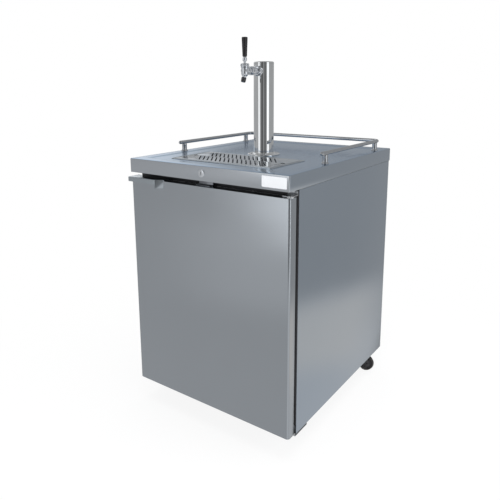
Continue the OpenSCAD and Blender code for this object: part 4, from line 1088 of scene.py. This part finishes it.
def make_hinges():
    bm = bmesh.new()
    for top in (0, 1):
        z0 = DZ1 + 2 if top else 89.0
        zl = z0 if top else z0 - 9
        zh = zl + (15 if top else 12)
        prism_into(bm, rr_loop(305, 14, 341, 54.4, 5.0, 6), z0, z0 + 3, r=0.5)
        rbox_into(bm, (305, 51.9, zl), (341, 54.4, zh), 0.7)
        t = bmesh.new()
        a, b = (z0 - 18, z0 + 0.2) if top else (z0 + 2.8, z0 + 21)
        lathe_into(t, [(0, a), (4.2, a), (5.0, a + 1.0), (5.0, b - (1.0 if not top else 0.0)), (4.2 if not top else 5.0, b), (0, b)], at(331, 25, 0), 32)
        merge(bm, t)
        t = bmesh.new()
        if top:
            prof = [(0, z0 + 2.8), (7.5, z0 + 2.8), (7.5, z0 + 3.5), (6.9, z0 + 4.6), (5.2, z0 + 5.2), (2.5, z0 + 5.4), (0, z0 + 5.4)]
        else:
            prof = [(0, z0 - 2.4), (2.5, z0 - 2.4), (5.2, z0 - 2.2), (6.9, z0 - 1.6), (7.5, z0 - 0.6), (7.5, z0 + 0.1), (0, z0 + 0.1)]
        lathe_into(t, prof, at(331, 25, 0), 32)
        merge(bm, t)
        for x in (313.0, 333.0):
            screw_into(bm, at(x, 51.9, z0 + (9.3 if top else -4.5), "-Y"), 3.2 if not top else 4.0, 1.9)
    finish_mesh(bm, "hinge_bracket_pair", "zinc", "cabinet", "hinge_brackets", sharp=34)


def make_strike():
    z = DZ1
    bm = bmesh.new()
    prof = [(20.0, z + 0.05), (38.4, z + 0.05), (39.0, z + 0.65), (39.0, z + 16.0), (37.4, z + 16.0), (37.4, z + 2.6), (36.4, z + 1.6), (20.0, z + 1.6)]
    prism_into(bm, prof, -42.0, 19.0, r=0.35, to=lambda u, v, w: (w, u, v))
    for x in (-31.0, 8.0):
        t = bmesh.new()
        lathe_into(t, [(0, z + 1.5), (3.3, z + 1.5), (3.1, z + 2.1), (2.2, z + 2.6), (0, z + 2.8)], at(x, 28, 0), 24)
        merge(bm, t)
    # painted shade: the strike takes the darkened copy of the zinc
    finish_mesh(bm, "strike_angle", "strike_zinc_painted_shade", "door", "door_strike", sharp=30)
    # painted shadow: a black block in the lock's plug stands in for the shade inside its key slot
    bm = bmesh.new()
    lbox_into(bm, at(0, 0, 951), (-1.15, -1.7, -4.9), (1.15, 2.0, 4.9), 0.5)
    lathe_into(bm, [(0, -1.6), (2.6, -1.6), (2.9, -1.3), (2.9, 1.0), (0, 1.0)], at(0, 0, 951, "Y"), 24)
    finish_mesh(bm, "lock_slot_shadow", "black_plastic", "lock")


# ------------------------------------------------------------------ casters
def make_casters():
    js = {j["name"]: j for j in frame["record"]["behaviour"]["joints"]}

    def mm(p):
        return Vector((p[0] * 1000, p[1] * 1000 + YC, p[2] * 1000))

    for k in ("fr", "fl", "rr", "rl"):
        piv = mm(js["caster_%s_swivel" % k]["pos_m"])
        c = mm(js["wheel_%s_spin" % k]["pos_m"])
        ang = math.atan2(c.y - piv.y, c.x - piv.x)
        wm = Matrix.Translation(c) @ Matrix.Rotation(ang, 4, "Z") @ Matrix.Rotation(math.radians(90), 4, "X")
        half = [(22.4, 9.2), (23.0, 10.5), (24.2, 11.5), (26.0, 11.95), (28.3, 11.8), (30.5, 10.7), (31.6, 8.6), (31.95, 5.8), (32.0, 3.0)]
        bm = bmesh.new()
        lathe_into(bm, [(r, -h) for r, h in half] + [(r, h) for r, h in reversed(half)], wm, 96, closed=True)
        finish_mesh(bm, "tyre_" + k, "tyre_rubber", "wheel_" + k, "caster_wheel_" + k, sharp=40)
        hub = [(4.1, 14.1), (8.2, 14.1), (8.9, 13.5), (9.2, 11.0), (10.4, 9.0), (12.5, 8.2), (19.0, 7.9), (20.4, 8.6), (21.4, 9.9), (22.3, 9.9), (22.5, 9.0)]
        bm = bmesh.new()
        lathe_into(bm, [(r, -h) for r, h in hub] + [(r, h) for r, h in reversed(hub)], wm, 72, closed=True)
        for i in range(6):
            rm = wm @ Matrix.Rotation(math.radians(60 * i), 4, "Z")
            for sgn in (-1, 1):
                z0, z1 = sorted((sgn * 7.6, sgn * 9.6))
                lbox_into(bm, rm, (9.0, -1.2, z0), (20.9, 1.2, z1), 0.4)
        finish_mesh(bm, "wheel_hub_" + k, "black_plastic", "wheel_" + k, sharp=34)
        fm = Matrix.Translation((piv.x, piv.y, 0)) @ Matrix.Rotation(ang, 4, "Z")
        bm = bmesh.new()
        lathe_into(bm, [(5.2, 74.2), (20.6, 74.2), (21.6, 74.8), (22.0, 75.8), (22.0, 79.4), (21.6, 80.4), (20.4, 81.0), (19.6, 81.3), (19.6, 82.8), (18.9, 83.5), (5.2, 83.5)], fm, 56, closed=True)
        lbox_into(bm, fm, (-16, -17.4, 70.4), (18, 17.4, 76.6), 2.0, 3)
        tr, az = 26.0, 32.0
        cheek = [(-16.0, 76.0), (-16.0, 72.8), (-12.5, 68.0)] + [(tr + 9.0 * math.cos(math.radians(a)), az + 9.0 * math.sin(math.radians(a))) for a in range(205, 381, 15)] + [(27.0, 58.0), (18.0, 72.8), (18.0, 76.0)]
        for s in (-1, 1):
            w0, w1 = sorted((s * 15.05, s * 17.5))
            prism_into(bm, cheek, w0, w1, r=0.7, to=lambda u, v, w: tuple(fm @ Vector((u, w, v))))
            hm = fm @ Matrix.Translation((tr, s * 17.4, az)) @ Matrix.Rotation(math.radians(-90 * s), 4, "X")
            t = bmesh.new()
            lathe_into(t, [(0, 0), (7.4, 0), (7.4, 0.7), (7.0, 0.9), (0, 0.9)], hm, 32)
            merge(bm, t)
            t = bmesh.new()
            lathe_into(t, [(0, 0.8), (6.1, 0.8), (6.3, 1.0), (6.3, 2.9), (5.6, 3.4), (0, 3.45)], hm, 6)
            merge(bm, t)
        t = bmesh.new()
        lathe_into(t, [(0, -17.4), (3.95, -17.4), (3.95, 17.4), (0, 17.4)], fm @ Matrix.Translation((tr, 0, az)) @ Matrix.Rotation(math.radians(90), 4, "X"), 32)
        merge(bm, t)
        finish_mesh(bm, "fork_" + k, "black_metal", "caster_" + k, "caster_fork_" + k, sharp=30)


# ------------------------------------------------------------------ inside
def make_inside():
    # moulded door liner: flange, raised dyke with draft and rounded corners
    bm = bmesh.new()

    def lp(x, z0, z1, r, y):
        return [(px, y, pz) for px, pz in rr_loop(-x, z0, x, z1, r, 8)]

    loops = [lp(341.4, 94.3, DZ1 - 0.3, 3.0, 40.2), lp(341.4, 94.3, DZ1 - 0.3, 3.0, 42.0), lp(340.8, 94.9, DZ1 - 0.9, 3.0, 42.45)]
    loops += [lp(286.5, 144.0, 859.5, 16.0, 42.45), lp(284.4, 146.1, 857.4, 15.0, 43.2), lp(283.4, 147.2, 856.4, 14.0, 45.0)]
    loops += [lp(282.8, 147.8, 855.8, 13.0, 55.0), lp(282.0, 148.6, 855.0, 12.5, 57.3), lp(280.2, 150.4, 853.2, 12.0, 58.3), lp(277.5, 153.1, 850.5, 11.0, 58.5)]
    loops += [lp(270.5, 160.1, 843.5, 10.0, 58.5), lp(267.8, 162.8, 840.8, 11.0, 58.2), lp(266.0, 164.6, 839.0, 12.0, 57.0), lp(265.0, 165.6, 838.0, 13.0, 54.6)]
    loops += [lp(264.3, 166.3, 837.3, 14.0, 48.0), lp(262.6, 168.0, 835.6, 15.0, 45.4), lp(259.5, 171.1, 832.5, 15.0, 44.5)]
    rings(bm, loops, cap1=True, cap0=True)
    finish_mesh(bm, "door_liner_moulding", "white_plastic", "door", "door_liner", sharp=40)
    # wire guard in front of the evaporator fan
    bm = bmesh.new()
    cx, cz, y = -70.0, 808.0, 483.2
    for r in (22.0, 33.0, 44.0, 55.0, 66.0, 74.0):
        t = bmesh.new()
        tube_into(t, [(cx + r * math.cos(2 * math.pi * k / 64), y, cz + r * math.sin(2 * math.pi * k / 64)) for k in range(64)], 1.0, 10, closed=True)
        merge(bm, t)
    for i in range(4):
        a = math.radians(45 + 90 * i)
        t = bmesh.new()
        tube_into(t, [(cx + r * math.cos(a), y + 1.7, cz + r * math.sin(a)) for r in (10, 30, 50, 70, 78)], 1.1, 10)
        merge(bm, t)
        t = bmesh.new()
        lathe_into(t, [(0, 0), (4.4, 0), (4.4, 0.6), (3.6, 1.4), (0, 1.7)], at(cx + 79 * math.cos(a), 486.0, cz + 79 * math.sin(a), "-Y"), 20)
        merge(bm, t)
    t = bmesh.new()
    lathe_into(t, [(0, -0.4), (14.0, -0.4), (15.5, 0.4), (15.5, 1.6), (14.6, 2.2), (0, 2.2)], at(cx, y, cz, "-Y"), 40)
    merge(bm, t)
    finish_mesh(bm, "fan_guard", "zinc", "cabinet", sharp=34)


# ------------------------------------------------------------------ build
make_worktop()
make_door()
make_pull()
make_gasket()
make_tray()
make_grid()
make_tower()
make_faucet()
make_rail()
make_front_fittings()
make_sides()
make_front_frame()
make_grille()
make_hinges()
make_strike()
make_casters()
make_inside()


# ------------------------------------------------------------------ stage and light
def make_stage():
    def stage_mat(name, emit, diffuse_mix):
        m = bpy.data.materials.new(name)
        m.use_nodes = True
        t = Tree(m.node_tree)
        out = t.n("ShaderNodeOutputMaterial")
        em = t.n("ShaderNodeEmission")
        em.inputs["Color"].default_value = (1, 1, 1, 1)
        em.inputs["Strength"].default_value = emit
        if diffuse_mix:
            df = t.n("ShaderNodeBsdfDiffuse")
            df.inputs["Color"].default_value = (0.92, 0.92, 0.92, 1)
            co = t.n("ShaderNodeTexCoord").outputs["Object"]
            ln = t.n("ShaderNodeVectorMath", operation="LENGTH")
            t.put(ln.inputs[0], co)
            fac = t.ramp(ln.outputs["Value"], 0.3, 1.5, 0.86, 1.0)
            mx = t.n("ShaderNodeMixShader")
            t.put(mx.inputs[0], fac)
            t.t.links.new(df.outputs[0], mx.inputs[1])
            t.t.links.new(em.outputs[0], mx.inputs[2])
            t.t.links.new(mx.outputs[0], out.inputs[0])
        else:
            t.t.links.new(em.outputs[0], out.inputs[0])
        return m

    bm = bmesh.new()
    bmesh.ops.create_circle(bm, cap_ends=True, cap_tris=False, segments=96, radius=9.0)
    me = bpy.data.meshes.new("floor")
    bm.to_mesh(me)
    bm.free()
    me.materials.append(stage_mat("floor_white", 1.0, True))
    fl = bpy.data.objects.new("floor", me)
    SC.collection.objects.link(fl)
    fl.visible_glossy = False
    bm = bmesh.new()
    bmesh.ops.create_uvsphere(bm, u_segments=48, v_segments=24, radius=20.0)
    me = bpy.data.meshes.new("backdrop")
    bm.to_mesh(me)
    bm.free()
    me.materials.append(stage_mat("backdrop_white", 1.0, False))
    bd = bpy.data.objects.new("backdrop", me)
    SC.collection.objects.link(bd)
    for a in ("visible_glossy", "visible_diffuse", "visible_transmission", "visible_shadow", "visible_volume_scatter"):
        setattr(bd, a, False)


def make_world():
    w = bpy.data.worlds.new("studio")
    SC.world = w
    w.use_nodes = True
    t = Tree(w.node_tree)
    out = t.n("ShaderNodeOutputWorld")
    bg = t.n("ShaderNodeBackground")
    t.t.links.new(bg.outputs[0], out.inputs[0])
    d = t.n("ShaderNodeTexCoord").outputs["Generated"]
    nrm = t.n("ShaderNodeVectorMath", operation="NORMALIZE")
    t.put(nrm.inputs[0], d)
    sep = t.n("ShaderNodeSeparateXYZ")
    t.put(sep.inputs[0], nrm.outputs[0])
    x, y, z = sep.outputs
    hl = t.math("SQRT", t.math("ADD", t.math("MULTIPLY", x, x), t.math("MULTIPLY", y, y)))
    hl = t.math("MAXIMUM", hl, 0.001)
    hx, hy = t.math("DIVIDE", x, hl), t.math("DIVIDE", y, hl)
    el = t.math("MULTIPLY", t.math("ARCSINE", z), 180 / math.pi)

    def band(theta, half, soft, e0, e1, esoft):
        """1 within half degrees of azimuth theta (0 is +Y, 90 is +X) and between elevations e0 and e1."""
        cx, cy = math.sin(math.radians(theta)), math.cos(math.radians(theta))
        dot = t.math("ADD", t.math("MULTIPLY", hx, cx), t.math("MULTIPLY", hy, cy))
        ang = t.math("MULTIPLY", t.math("ARCCOSINE", t.math("MINIMUM", t.math("MAXIMUM", dot, -1.0), 1.0)), 180 / math.pi)
        a = t.ramp(ang, half, half + soft, 1.0, 0.0)
        lo = t.ramp(el, e0 - esoft, e0, 0.0, 1.0)
        hi = t.ramp(el, e1, e1 + esoft, 1.0, 0.0)
        return t.math("MULTIPLY", a, t.math("MULTIPLY", lo, hi))

    base = t.ramp(el, -40, 10, 0.44, 0.39)
    base = t.math("ADD", base, t.ramp(el, 25, 75, 0.0, -0.10))
    v = base

    def blend(v, mask, value):
        return t.math("ADD", t.math("MULTIPLY", v, t.math("SUBTRACT", 1.0, mask)), t.math("MULTIPLY", mask, value))

    # darker wall beyond the cabinet's right side, with the lit floor below it
    v = blend(v, band(25, 36, 20, -19, 40, 6), 0.36)
    v = blend(v, band(25, 40, 25, -90, -33, 8), 0.55)
    warm = band(46, 18, 28, -33, -25.5, 6)
    v = blend(v, warm, 0.62)
    # the dark studio behind the camera, with a paler strip in the middle
    v = blend(v, band(149, 25, 6, -8, 60, 8), 0.11)
    v = blend(v, band(146, 5, 4, -8, 60, 8), 0.27)
    v = blend(v, band(125, 30, 15, -60, -20, 8), 0.62)
    # two softboxes
    v = blend(v, band(97, 7, 6, -14, 30, 8), 1.35)
    v = blend(v, band(-156, 9, 16, -20, -9, 6), 0.53)
    v = blend(v, band(-158, 6, 4, -2, 3, 4), 1.15)
    v = blend(v, band(-161, 5, 3, -8, 0, 2), 1.15)
    v = blend(v, band(-156, 7, 6, 10, 40, 10), 1.15)
    # bright window low behind the left
    v = blend(v, band(-57, 7, 16, 6, 40, 8), 0.95)
    tint = t.n("ShaderNodeCombineColor")
    t.put(tint.inputs[0], t.math("MULTIPLY", v, t.math("ADD", 0.975, t.math("MULTIPLY", warm, 0.06))))
    t.put(tint.inputs[1], v)
    t.put(tint.inputs[2], t.math("MULTIPLY", v, t.math("SUBTRACT", 1.03, t.math("MULTIPLY", warm, 0.07))))
    t.put(bg.inputs["Color"], tint.outputs[0])
    bg.inputs["Strength"].default_value = 1.0


def area(name, loc, target, size, power, color=(1, 1, 1)):
    ld = bpy.data.lights.new(name, "AREA")
    ld.shape = "RECTANGLE"
    ld.size, ld.size_y = size
    ld.energy = power
    ld.color = color
    o = bpy.data.objects.new(name, ld)
    o.location = loc
    o.rotation_mode = "QUATERNION"
    o.rotation_quaternion = (Vector(target) - Vector(loc)).to_track_quat("-Z", "Y")
    SC.collection.objects.link(o)
    return o


make_stage()
make_world()
area("overhead_softbox", (0.2, -0.1, 3.6), (0, 0, 0), (3.2, 3.2), 95).visible_glossy = False
area("front_fill", (1.5, -3.4, 2.0), (0, -0.3, 0.8), (2.0, 2.0), 85).visible_glossy = False
area("side_fill", (3.3, 0.6, 1.9), (0.2, 0, 0.6), (2.0, 2.0), 55).visible_glossy = False
SC.view_settings.view_transform = "Standard"
SC.view_settings.look = "None"
